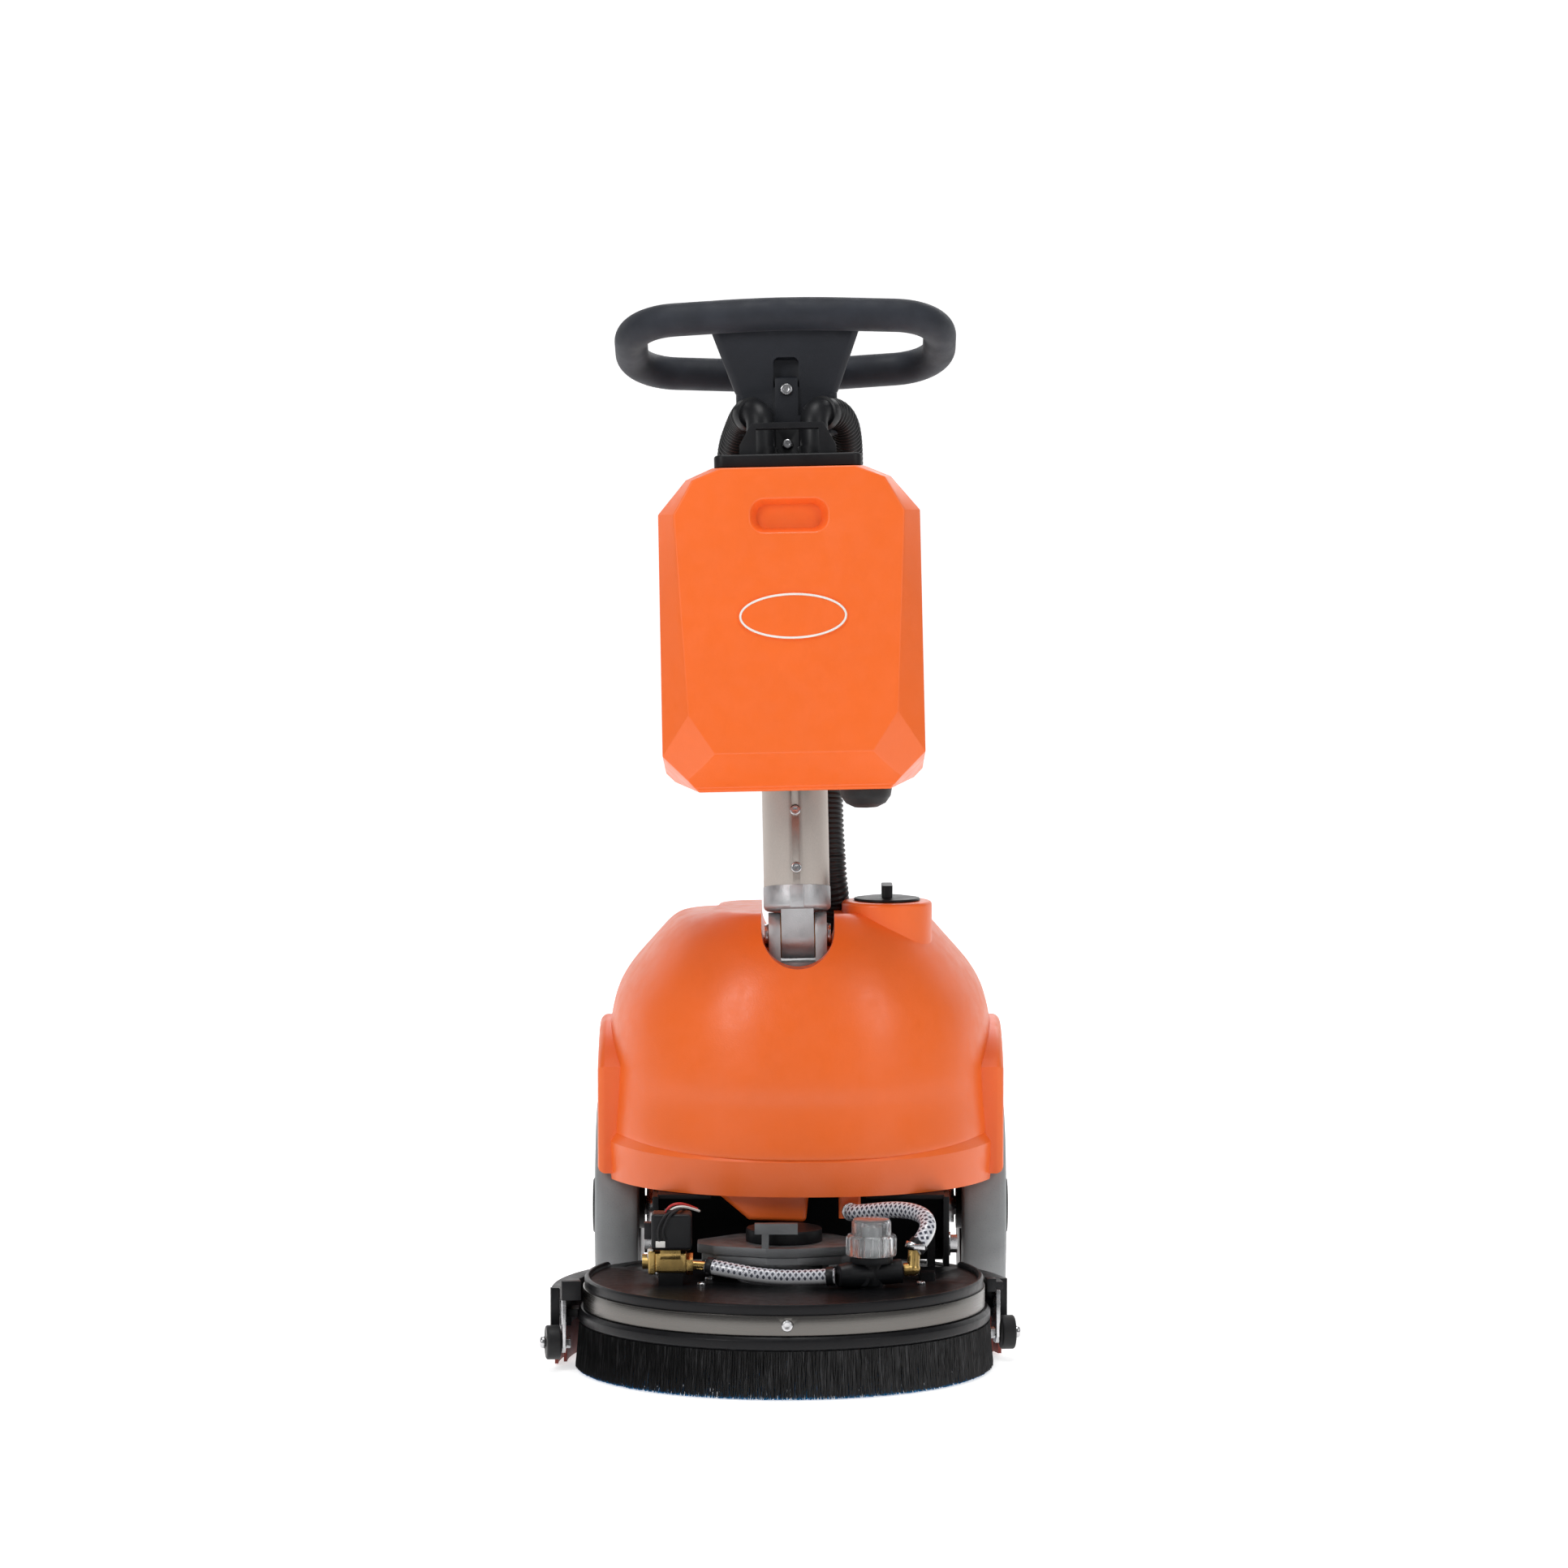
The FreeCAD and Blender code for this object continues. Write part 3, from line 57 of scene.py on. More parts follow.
# ---- places taken from the frame ------------------------------------------------------------------
def middle(node):
    low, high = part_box(node)
    return (low + high) / 2


DECK = middle("brush_disc")                                   # the brush axis
MACHINE_X = middle("wheel_axle").x                            # the machine's middle plane
DECK_X = -17.0                                                # deck axis from the middle plane, mm
ORIGIN = Vector((MACHINE_X, DECK.y, 0.0))                     # the CAD's drawing origin
PIVOT = ORIGIN + Vector((-3.0, 150.0, 415.0)) * MM
LEAN = math.radians(10.0)
SIDE_LEAN = math.radians(1.2)
SWING = math.radians(8.0)
LEANED = (Matrix.Translation(PIVOT) @ Matrix.Rotation(-SIDE_LEAN, 4, "Y") @ Matrix.Rotation(-LEAN, 4, "X"))
ON_DECK = Matrix.Translation(ORIGIN + Vector((DECK_X * MM, 0.0, 0.0)))
SWUNG = ON_DECK @ Matrix.Rotation(SWING, 4, "Z")
PLAIN = Matrix.Translation(ORIGIN)


def place(matrix, point):
    """A point in mm, drawn where matrix says, in metres in the row frame."""
    return matrix @ (Vector(point) * MM)


# ---- camera and light -----------------------------------------------------------------------------
SENSOR_MM = 36.0
LENS_MM = 139.7516
CAMERA_DISTANCE = 6.0
CAMERA_HEIGHT = 1.010
DOWNWARD_SLOPE = 0.0717333                                    # of the line of sight


def make_camera():
    data = bpy.data.cameras.new("camera")
    data.sensor_width = SENSOR_MM
    data.lens = LENS_MM
    data.clip_end = 100.0
    camera = bpy.data.objects.new("camera", data)
    bpy.context.scene.collection.objects.link(camera)
    camera.location = Vector((DECK.x, DECK.y - CAMERA_DISTANCE, CAMERA_HEIGHT))
    aim = Vector((0.0, 1.0, -DOWNWARD_SLOPE))
    camera.rotation_euler = aim.to_track_quat("-Z", "Y").to_euler()
    bpy.context.scene.camera = camera


def area_light(name, place_at, aim_at, size, power, colour=(1.0, 1.0, 1.0), size_y=None):
    data = bpy.data.lights.new(name, "AREA")
    data.shape = "RECTANGLE"
    data.size = size
    data.size_y = size_y or size
    data.energy = power
    data.color = colour
    light = bpy.data.objects.new(name, data)
    bpy.context.scene.collection.objects.link(light)
    light.location = place_at
    light.rotation_euler = (Vector(aim_at) - Vector(place_at)).to_track_quat("-Z", "Y").to_euler()


def make_light():
    target = (0.0, 0.0, 0.5)
    area_light("key_left", (-2.2, -2.6, 2.6), target, 1.0, 46.0, size_y=1.8)
    area_light("key_right", (2.4, -2.2, 2.2), target, 0.9, 24.0, size_y=1.8)
    area_light("top", (0.0, -0.3, 3.2), (0.0, 0.1, 0.4), 1.2, 30.0)
    area_light("back", (0.6, 2.8, 2.4), target, 2.0, 20.0)
    world = bpy.data.worlds.new("studio")
    bpy.context.scene.world = world
    world.use_nodes = True
    background = world.node_tree.nodes["Background"]
    background.inputs["Color"].default_value = (0.96, 0.97, 1.0, 1.0)
    background.inputs["Strength"].default_value = 0.2
    scene = bpy.context.scene
    scene.view_settings.view_transform = "Standard"
    scene.view_settings.look = "None"


# ---- materials ------------------------------------------------------------------------------------
class Surface:
    """A Principled material that grows by procedural layers."""

    def __init__(self, name, colour, roughness, metallic=0.0, **sockets):
        self.material = bpy.data.materials.new(name)
        self.material.use_nodes = True
        self.material.diffuse_color = (*colour, 1.0)
        self.tree = self.material.node_tree
        self.bsdf = self.tree.nodes["Principled BSDF"]
        self.colour = colour
        self.bsdf.inputs["Base Color"].default_value = (*colour, 1.0)
        self.bsdf.inputs["Roughness"].default_value = roughness
        self.bsdf.inputs["Metallic"].default_value = metallic
        for key, value in sockets.items():
            self.bsdf.inputs[key.replace("_", " ")].default_value = value
        self.normal = None

    def node(self, kind, **inputs):
        made = self.tree.nodes.new(kind)
        for key, value in inputs.items():
            self.feed(made, key.replace("_", " "), value)
        return made

    def feed(self, node, key, value):
        socket = node.inputs[int(key[1:])] if key.startswith("#") else node.inputs[key]
        if isinstance(value, bpy.types.NodeSocket):
            self.tree.links.new(value, socket)
        else:
            socket.default_value = value

    def math(self, operation, a, b=0.0, clamp=False):
        made = self.tree.nodes.new("ShaderNodeMath")
        made.operation = operation
        made.use_clamp = clamp
        self.feed(made, "#0", a)
        self.feed(made, "#1", b)
        return made.outputs[0]

    def coordinates(self, stretch=(1.0, 1.0, 1.0), turn=(0.0, 0.0, 0.0)):
        source = self.node("ShaderNodeTexCoord").outputs["Object"]
        mapping = self.node("ShaderNodeMapping", Vector=source, Scale=stretch, Rotation=turn)
        return mapping.outputs["Vector"]

    def noise(self, scale, detail=3.0, stretch=(1.0, 1.0, 1.0), turn=(0.0, 0.0, 0.0), roughness=0.55):
        made = self.node("ShaderNodeTexNoise", Vector=self.coordinates(stretch, turn), Scale=scale,
                         Detail=detail, Roughness=roughness)
        return made.outputs["Fac"]

    def ramp(self, factor, low, high, dark, light):
        made = self.node("ShaderNodeMapRange", Value=factor)
        for key, value in (("From Min", low), ("From Max", high), ("To Min", dark), ("To Max", light)):
            made.inputs[key].default_value = value
        return made.outputs["Result"]

    def blend(self, factor, first, second):
        made = self.tree.nodes.new("ShaderNodeMix")
        made.data_type = "RGBA"
        colours = [socket for socket in made.inputs if socket.type == "RGBA"]
        self.tree.links.new(factor, made.inputs["Factor"])
        for socket, value in zip(colours, (first, second)):
            if isinstance(value, bpy.types.NodeSocket):
                self.tree.links.new(value, socket)
            else:
                socket.default_value = (*value, 1.0)
        return next(socket for socket in made.outputs if socket.type == "RGBA")

    def tint(self, factor, low, high, first, second):
        """Base colour from first to second as factor goes from low to high."""
        mixed = self.blend(self.ramp(factor, low, high, 0.0, 1.0), first, second)
        self.tree.links.new(mixed, self.bsdf.inputs["Base Color"])
        return mixed

    def rough(self, factor, low, high, smooth, coarse):
        self.tree.links.new(self.ramp(factor, low, high, smooth, coarse), self.bsdf.inputs["Roughness"])

    def bump(self, height, distance, strength=1.0):
        made = self.node("ShaderNodeBump", Height=height, Distance=distance, Strength=strength)
        if self.normal:
            self.tree.links.new(self.normal, made.inputs["Normal"])
        self.normal = made.outputs["Normal"]
        self.tree.links.new(self.normal, self.bsdf.inputs["Normal"])


def shade(colour, factor):
    return tuple(min(1.0, channel * factor) for channel in colour)


def moulded(name, colour, roughness, grain=900.0, depth=0.00018, mottle=0.06, gloss=0.5):
    """Rotomoulded or injection-moulded plastic with a fine grain."""
    made = Surface(name, colour, roughness, Specular_IOR_Level=gloss)
    cloud = made.noise(9.0, 4.0)
    made.tint(cloud, 0.3, 0.7, shade(colour, 1.0 - mottle), shade(colour, 1.0 + mottle))
    fine = made.noise(grain, 2.0)
    made.rough(made.noise(60.0, 4.0), 0.35, 0.65, roughness - 0.05, roughness + 0.06)
    made.bump(made.noise(14.0, 1.0), 0.0004, 0.2)
    made.bump(fine, depth, 0.8)
    return made.material


def powder_coat(name, colour, roughness=0.42):
    made = Surface(name, colour, roughness, Specular_IOR_Level=0.2)
    made.tint(made.noise(30.0, 5.0), 0.3, 0.75, shade(colour, 0.9), shade(colour, 1.15))
    made.rough(made.noise(120.0, 3.0), 0.3, 0.7, roughness - 0.04, roughness + 0.06)
    made.bump(made.noise(1400.0, 2.0), 0.00002, 0.4)
    return made.material


def brushed(name, colour, roughness, stretch, turn=(0.0, 0.0, 0.0), anisotropic=0.4):
    """Metal with fine parallel scratches along the axis that stretch leaves long."""
    made = Surface(name, colour, roughness, metallic=1.0, Anisotropic=anisotropic)
    lines = made.noise(1.0, 6.0, stretch=stretch, turn=turn, roughness=0.75)
    made.tint(lines, 0.3, 0.7, shade(colour, 0.86), shade(colour, 1.1))
    made.rough(lines, 0.3, 0.7, roughness - 0.06, roughness + 0.1)
    made.bump(lines, 0.00006, 0.5)
    return made.material


def cast_metal(name, colour, roughness=0.5, grain=650.0):
    made = Surface(name, colour, roughness, metallic=0.85)
    made.tint(made.noise(45.0, 5.0), 0.3, 0.7, shade(colour, 0.78), shade(colour, 1.12))
    made.rough(made.noise(90.0, 4.0), 0.3, 0.7, roughness - 0.1, roughness + 0.12)
    made.bump(made.noise(grain, 3.0), 0.0003, 0.7)
    return made.material


def polished(name, colour, roughness=0.22):
    made = Surface(name, colour, roughness, metallic=1.0)
    made.tint(made.noise(150.0, 4.0), 0.3, 0.7, shade(colour, 0.85), shade(colour, 1.08))
    made.rough(made.noise(80.0, 5.0), 0.3, 0.7, roughness - 0.07, roughness + 0.14)
    made.bump(made.noise(800.0, 2.0), 0.00005, 0.5)
    return made.material


def soft_rubber(name, colour, roughness=0.62, grain=1100.0, depth=0.00025):
    made = Surface(name, colour, roughness, Sheen_Weight=0.05, Specular_IOR_Level=0.3)
    made.tint(made.noise(24.0, 5.0), 0.3, 0.75, shade(colour, 0.8), shade(colour, 1.35))
    made.rough(made.noise(50.0, 3.0), 0.3, 0.7, roughness - 0.08, roughness + 0.1)
    made.bump(made.noise(grain, 3.0), depth, 0.8)
    return made.material


def tyre_rubber():
    """Light grey solid tyre, a little stained and speckled."""
    grey = (0.30, 0.315, 0.32)
    made = Surface("tyre_rubber", grey, 0.55)
    stained = made.tint(made.noise(18.0, 6.0), 0.35, 0.75, shade(grey, 1.06), shade(grey, 0.8))
    speck = made.ramp(made.noise(900.0, 2.0), 0.62, 0.74, 0.0, 0.5)
    made.tree.links.new(made.blend(speck, stained, shade(grey, 0.5)), made.bsdf.inputs["Base Color"])
    made.rough(made.noise(70.0, 3.0), 0.3, 0.7, 0.48, 0.66)
    made.bump(made.noise(700.0, 3.0), 0.0003, 0.6)
    return made.material


def clear_plastic(name="clear_plastic", colour=(0.93, 0.95, 0.96)):
    made = Surface(name, colour, 0.08, Transmission_Weight=0.92, IOR=1.49)
    made.rough(made.noise(120.0, 3.0), 0.3, 0.75, 0.04, 0.2)
    made.bump(made.noise(90.0, 2.0), 0.0002, 0.25)
    return made.material


def braided():
    """Clear hose over a woven thread, with a printed pale strip and a thin red line along it."""
    made = Surface("braided_hose", (0.5, 0.52, 0.58), 0.18, Coat_Weight=0.6, Coat_Roughness=0.08)
    uv = made.node("ShaderNodeTexCoord").outputs["UV"]
    split = made.node("ShaderNodeSeparateXYZ", Vector=uv)
    around, along = split.outputs["X"], split.outputs["Y"]
    threads = None
    for sign in (1.0, -1.0):
        across = made.math("MULTIPLY", around, 6.0)
        slant = made.math("ADD", across, made.math("MULTIPLY", along, sign * 170.0))
        cell = made.math("FRACT", slant)
        near = made.math("ABSOLUTE", made.math("SUBTRACT", cell, 0.5))
        line = made.math("LESS_THAN", near, 0.2)
        threads = line if threads is None else made.math("MAXIMUM", threads, line)
    woven = made.blend(threads, (0.05, 0.055, 0.08), (0.66, 0.67, 0.72))

    def strip(centre, half):
        return made.math("LESS_THAN", made.math("ABSOLUTE", made.math("SUBTRACT", around, centre)), half)

    printed = made.blend(strip(0.36, 0.07), woven, (0.80, 0.81, 0.82))
    lined = made.blend(strip(0.46, 0.014), printed, (0.62, 0.05, 0.05))
    made.tree.links.new(lined, made.bsdf.inputs["Base Color"])
    made.bump(threads, 0.0002, 0.4)
    made.rough(made.noise(200.0, 2.0), 0.3, 0.7, 0.12, 0.3)
    return made.material


def bristle(name, colour, tip, tip_z, fade):
    """Strands that turn paler towards tip_z."""
    made = Surface(name, colour, 0.45, Sheen_Weight=0.05, Specular_IOR_Level=0.3)
    place_at = made.node("ShaderNodeTexCoord").outputs["Object"]
    height = made.node("ShaderNodeSeparateXYZ", Vector=place_at).outputs["Z"]
    fading = made.tint(height, tip_z, tip_z + fade, tip, colour)
    streaks = made.ramp(made.noise(420.0, 2.0, stretch=(1.0, 1.0, 0.03)), 0.52, 0.70, 0.0, 1.0)
    made.tree.links.new(made.blend(streaks, fading, shade(tip, 2.2)), made.bsdf.inputs["Base Color"])
    made.rough(made.noise(600.0, 2.0), 0.3, 0.7, 0.35, 0.6)
    made.bump(made.noise(3000.0, 2.0), 0.00005, 0.4)
    return made.material


ORANGE = (0.93, 0.155, 0.022)


def make_materials():
    black = (0.0090, 0.0094, 0.0108)
    return {
        "orange": moulded("orange_shell", ORANGE, 0.35, 620.0, 0.00016, 0.03),
        "black_plastic": moulded("black_plastic", black, 0.42, 1200.0, 0.00010, 0.25, 0.26),
        "console": moulded("console_plastic", (0.018, 0.020, 0.026), 0.5, 1000.0, 0.00014, 0.2, 0.3),
        "black_steel": powder_coat("black_steel", (0.007, 0.007, 0.008), 0.34),
        "frame_steel": powder_coat("frame_steel", (0.008, 0.008, 0.009), 0.45),
        "foam": soft_rubber("grip_foam", (0.020, 0.023, 0.031), 0.60, 1300.0, 0.00022),
        "rubber": soft_rubber("black_rubber", (0.014, 0.014, 0.015), 0.5),
        "hose": soft_rubber("hose_plastic", (0.016, 0.017, 0.018), 0.36, 900.0, 0.00012),
        "red_rubber": soft_rubber("red_rubber", (0.20, 0.035, 0.025), 0.5),
        "tyre": tyre_rubber(),
        "band": brushed("band_steel", (0.155, 0.148, 0.138), 0.24, (3.0, 3.0, 5200.0)),
        "zinc": polished("zinc_plate", (0.62, 0.62, 0.63)),
        "champagne": brushed("column_metal", (0.50, 0.45, 0.41), 0.42, (2600.0, 2600.0, 4.0),
                             turn=(LEAN, 0.0, 0.0), anisotropic=0.2),
        "cast": cast_metal("cast_alloy", (0.52, 0.53, 0.54)),
        "cast_dark": cast_metal("cast_dark", (0.19, 0.195, 0.20), 0.52),
        "bronze": cast_metal("bronze", (0.30, 0.16, 0.08), 0.45),
        "brass": polished("brass", (0.62, 0.42, 0.15), 0.28),
        "clear": clear_plastic(),
        "mesh_steel": polished("strainer_mesh", (0.5, 0.5, 0.5), 0.4),
        "braided": braided(),
        "blue": bristle("blue_bristle", (0.006, 0.10, 0.26), (0.01, 0.19, 0.42), 0.0, 0.02),
        "dark_bristle": bristle("black_bristle", (0.006, 0.006, 0.0065), (0.020, 0.020, 0.021), 0.002, 0.020),
        "display": moulded("display", (0.01, 0.016, 0.02), 0.12, 500.0, 0.00002, 0.1),
        "green": moulded("button_green", (0.03, 0.24, 0.07), 0.3, 900.0, 0.00005),
        "blue_button": moulded("button_blue", (0.03, 0.10, 0.36), 0.3, 900.0, 0.00005),
        "grey_button": moulded("button_grey", (0.30, 0.30, 0.31), 0.35, 900.0, 0.00005),
        "battery": moulded("battery_case", (0.03, 0.035, 0.045), 0.4),
        "red_cable": moulded("red_cable", (0.55, 0.03, 0.03), 0.35, 900.0, 0.00004),
        "badge": moulded("badge_line", (0.86, 0.84, 0.80), 0.35, 900.0, 0.00004, 0.03),
    }


# ---- mesh helpers ---------------------------------------------------------------------------------
def smooth_group():
    """Node group that smooths faces except over edges sharper than 32 degrees."""
    group = bpy.data.node_groups.new("smooth_by_angle", "GeometryNodeTree")
    group.interface.new_socket("Geometry", in_out="INPUT", socket_type="NodeSocketGeometry")
    group.interface.new_socket("Geometry", in_out="OUTPUT", socket_type="NodeSocketGeometry")
    nodes, links = group.nodes, group.links
    start = nodes.new("NodeGroupInput")
    end = nodes.new("NodeGroupOutput")
    forget = nodes.new("GeometryNodeRemoveAttribute")
    forget.inputs["Name"].default_value = "custom_normal"
    angle = nodes.new("GeometryNodeInputMeshEdgeAngle")
    sharp = nodes.new("FunctionNodeCompare")
    sharp.data_type = "FLOAT"
    sharp.operation = "GREATER_THAN"
    sharp.inputs[1].default_value = math.radians(32.0)
    faces = nodes.new("GeometryNodeSetShadeSmooth")
    faces.domain = "FACE"
    edges = nodes.new("GeometryNodeSetShadeSmooth")
    edges.domain = "EDGE"
    edges.inputs["Shade Smooth"].default_value = False
    links.new(angle.outputs["Unsigned Angle"], sharp.inputs[0])
    links.new(start.outputs[0], forget.inputs["Geometry"])
    links.new(forget.outputs["Geometry"], faces.inputs["Geometry"])
    links.new(faces.outputs["Geometry"], edges.inputs["Geometry"])
    links.new(sharp.outputs["Result"], edges.inputs["Selection"])
    links.new(edges.outputs["Geometry"], end.inputs[0])
    return group


SMOOTH = smooth_group()


def refine(obj, bevel_mm=0.0, weld=True):
    """Weld, soften the hard edges and smooth the round faces of a mesh object."""
    if weld:
        merge = obj.modifiers.new("weld", "WELD")
        merge.merge_threshold = 0.00002
    if bevel_mm:
        edge = obj.modifiers.new("bevel", "BEVEL")
        edge.width = bevel_mm * MM
        edge.segments = 2
        edge.limit_method = "ANGLE"
        edge.angle_limit = math.radians(35.0)
        edge.use_clamp_overlap = True
    smooth = obj.modifiers.new("smooth", "NODES")
    smooth.node_group = SMOOTH


def dress(node, material, bevel_mm=0.5):
    """Material, bevel and smooth shading for a CAD node."""
    obj = NODES[node]
    obj.data.materials.clear()
    obj.data.materials.append(material)
    for face in obj.data.polygons:
        face.material_index = 0
    refine(obj, bevel_mm)


def mesh_object(name, verts, faces, material, body, smooth=True, uvs=None):
    mesh = bpy.data.meshes.new(name)
    mesh.from_pydata([tuple(v) for v in verts], [], faces)
    mesh.update()
    if uvs:
        layer = mesh.uv_layers.new(name="UVMap")
        for loop in mesh.loops:
            layer.data[loop.index].uv = uvs[loop.vertex_index]
    for face in mesh.polygons:
        face.use_smooth = smooth
    obj = bpy.data.objects.new(name, mesh)
    bpy.context.scene.collection.objects.link(obj)
    obj.data.materials.append(material)
    if body:
        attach(obj, body)
    return obj


def spline_points(points, step):
    """Even points along a smooth NURBS curve through the route's hull."""
    curve = bpy.data.curves.new("route", "CURVE")
    curve.dimensions = "3D"
    curve.resolution_u = 24
    spline = curve.splines.new("NURBS")
    spline.points.add(len(points) - 1)
    for slot, point in zip(spline.points, points):
        slot.co = (*point, 1.0)
    spline.order_u = 3
    spline.use_endpoint_u = True
    holder = bpy.data.objects.new("route", curve)
    bpy.context.scene.collection.objects.link(holder)
    line = bpy.data.meshes.new_from_object(holder)
    dense = [v.co.copy() for v in line.vertices]
    bpy.data.objects.remove(holder)
    bpy.data.curves.remove(curve)
    bpy.data.meshes.remove(line)
    lengths = [0.0]
    for a, b in zip(dense, dense[1:]):
        lengths.append(lengths[-1] + (b - a).length)
    count = max(2, round(lengths[-1] / step))
    result = []
    index = 0
    for k in range(count + 1):
        target = lengths[-1] * k / count
        while index < len(dense) - 2 and lengths[index + 1] < target:
            index += 1
        span = lengths[index + 1] - lengths[index]
        part = (target - lengths[index]) / span if span > 0 else 0.0
        result.append(dense[index].lerp(dense[index + 1], min(1.0, part)))
    return result


def sweep(name, path, radius_at, material, body, segments=24, first_side=(0.0, 0.0, 1.0), caps=True):
    """Tube along even points; radius_at takes the distance along it in metres."""
    verts, faces, uvs = [], [], []
    side = Vector(first_side)
    travelled = 0.0
    for i, point in enumerate(path):
        ahead = path[min(i + 1, len(path) - 1)] - path[max(i - 1, 0)]
        ahead.normalize()
        side = (side - ahead * side.dot(ahead)).normalized()
        other = ahead.cross(side)
        if i:
            travelled += (point - path[i - 1]).length
        radius = radius_at(travelled)
        for k in range(segments + 1):
            angle = 2 * math.pi * k / segments
            verts.append(point + (side * math.cos(angle) + other * math.sin(angle)) * radius)
            uvs.append((k / segments, travelled))
    row = segments + 1
    for i in range(len(path) - 1):
        for k in range(segments):
            a = i * row + k
            faces.append((a, a + 1, a + row + 1, a + row))
    if caps:
        faces.append(tuple(range(segments))[::-1])
        last = (len(path) - 1) * row
        faces.append(tuple(range(last, last + segments)))
    return mesh_object(name, verts, faces, material, body, uvs=uvs)


def corrugation(base, depth, pitch):
    """Radius of a ribbed hose: round ribs with narrow valleys."""
    def radius(distance):
        phase = (distance / pitch) % 1.0
        return base - depth * (1.0 - math.sin(math.pi * phase) ** 0.8)
    return radius


def strands(name, roots, material, body, thickness, sides=3):
    """Many fine bristles; each is a list of points from root to tip."""
    verts, faces = [], []
    for line in roots:
        start = len(verts)
        for level, point in enumerate(line):
            size = thickness * (1.0 if level < len(line) - 1 else 0.55)
            for k in range(sides):
                angle = 2 * math.pi * k / sides
                verts.append(point + Vector((math.cos(angle) * size, math.sin(angle) * size, 0.0)))
        for level in range(len(line) - 1):
            for k in range(sides):
                a = start + level * sides + k
                b = start + level * sides + (k + 1) % sides
                faces.append((a, b, b + sides, a + sides))
        tip = start + (len(line) - 1) * sides
        faces.append(tuple(range(tip, tip + sides)))
    return mesh_object(name, verts, faces, material, body, smooth=False)


# ---- pieces ---------------------------------------------------------------------------------------
LEFT_HOSE = [(-41, -50, 526), (-44, -34, 525), (-49, -14, 517), (-55, 6, 505), (-57.5, 24, 490),
             (-57, 44, 464), (-55, 54, 440), (-53, 58, 418)]
RIGHT_HOSE = [(41, -50, 528), (50, -38, 529), (58, -18, 521), (61, 4, 507), (61.5, 28, 482), (61, 46, 452),
              (60, 51, 420), (58, 53, 380), (54, 55, 330), (48, 55, 280), (41, 55, 228), (35, 54, 176),
              (33, 53.5, 126), (35, 53, 84)]
HOSE_NEXT = (36, 53, 60)
HOSE_FALL = [(35, 222, 440), (30, 233, 405), (26, 236, 372), (25, 236, 344)]
HOSE_R = 16.0
RIB_PITCH = 5.2
SUPPLY_ROUTE = [(-76, -36, 104.8), (-54, -46, 102.5), (-28, -55, 98.5), (-1, -61, 97), (24, -66, 98),
                (50, -70, 100)]
FEED_ROUTE = [(128, -56, 124), (137, -52, 134), (143, -40, 145), (139, -24, 153), (125, -8, 156),
              (107, 7, 155), (88, 20, 151), (67, 37, 147), (67, 53, 147)]
SUPPLY_R = 7.6
FEED_R = 8.2
HOSE_STEP = 0.0015                                            # between rings of a clear hose, in metres


def ribbed_hose(name, points, body, node, material):
    path = spline_points(points, RIB_PITCH * MM / 6)
    hose = sweep(name, path, corrugation(HOSE_R * MM, 2.4 * MM, RIB_PITCH * MM), material, body, 28)
    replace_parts(hose, node)
    return hose


def make_hoses(mats):
    ribbed_hose("return_hose_ribbed", [place(LEANED, p) for p in LEFT_HOSE], "column", "return_hose",
                mats["hose"])
    ribbed_hose("suction_hose_ribbed", [place(LEANED, p) for p in RIGHT_HOSE], "column", "suction_hose",
                mats["hose"])
    top = place(LEANED, RIGHT_HOSE[-1])
    lower = [top, place(LEANED, HOSE_NEXT)] + [place(PLAIN, p) for p in HOSE_FALL]
    hose = ribbed_hose("suction_hose_lower_ribbed", lower, None, "suction_hose_lower", mats["hose"])
    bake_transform(hose)
    supply = sweep("supply_hose_braided", spline_points([place(ON_DECK, p) for p in SUPPLY_ROUTE], HOSE_STEP),
                   lambda s: SUPPLY_R * MM, mats["braided"], "deck", 32)
    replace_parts(supply, "supply_hose")
    feed_points = [place(ON_DECK, p) for p in FEED_ROUTE]
    feed = sweep("feed_hose_braided", spline_points(feed_points, HOSE_STEP), lambda s: FEED_R * MM,
                 mats["braided"], None, 32)
    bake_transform(feed)
    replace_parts(feed, "feed_hose")


def ring_strands(rng, count, matrix, root_r, tip_r, root_z, tip_z, angle_from, angle_to, spread, rag):
    """Bristles round an arc, leaning out from the root radius to the tip radius."""
    lines = []
    for _ in range(count):
        angle = math.radians(rng.uniform(angle_from, angle_to))
        drift = rng.uniform(-spread, spread) / root_r
        inset = rng.uniform(-1.0, 0.0) * 2.4
        low = tip_z + abs(rng.gauss(0.0, rag))
        line = []
        for part in (0.0, 0.45, 1.0):
            radius = root_r + inset + (tip_r - root_r) * part ** 1.3 + rng.uniform(-0.3, 0.3) * part
            turn = angle + drift * part
            height = root_z + (low - root_z) * part
            line.append(place(matrix, (radius * math.cos(turn), radius * math.sin(turn), height)))
        lines.append(line)
    return lines


def make_bristles(mats):
    rng = random.Random(7)
    skirt = ring_strands(rng, 4600, SWUNG, 204.4, 208.0, 47.0, 1.8, -182.0, 2.0, 4.2, 1.8)
    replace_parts(strands("skirt_bristles", skirt, mats["dark_bristle"], "squeegee", 0.36 * MM), "ring_skirt")
    brush = ring_strands(rng, 4200, ON_DECK, 187.0, 205.6, 36.0, 0.2, 0.0, 360.0, 3.0, 0.7)
    for radius in (172.0, 156.0, 140.0, 124.0):
        brush += ring_strands(rng, 900, ON_DECK, radius, radius + 6.0, 36.0, 0.2, 0.0, 360.0, 3.0, 0.8)
    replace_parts(strands("brush_tufts", brush, mats["blue"], "brush", 0.75 * MM), "brush_bristles")


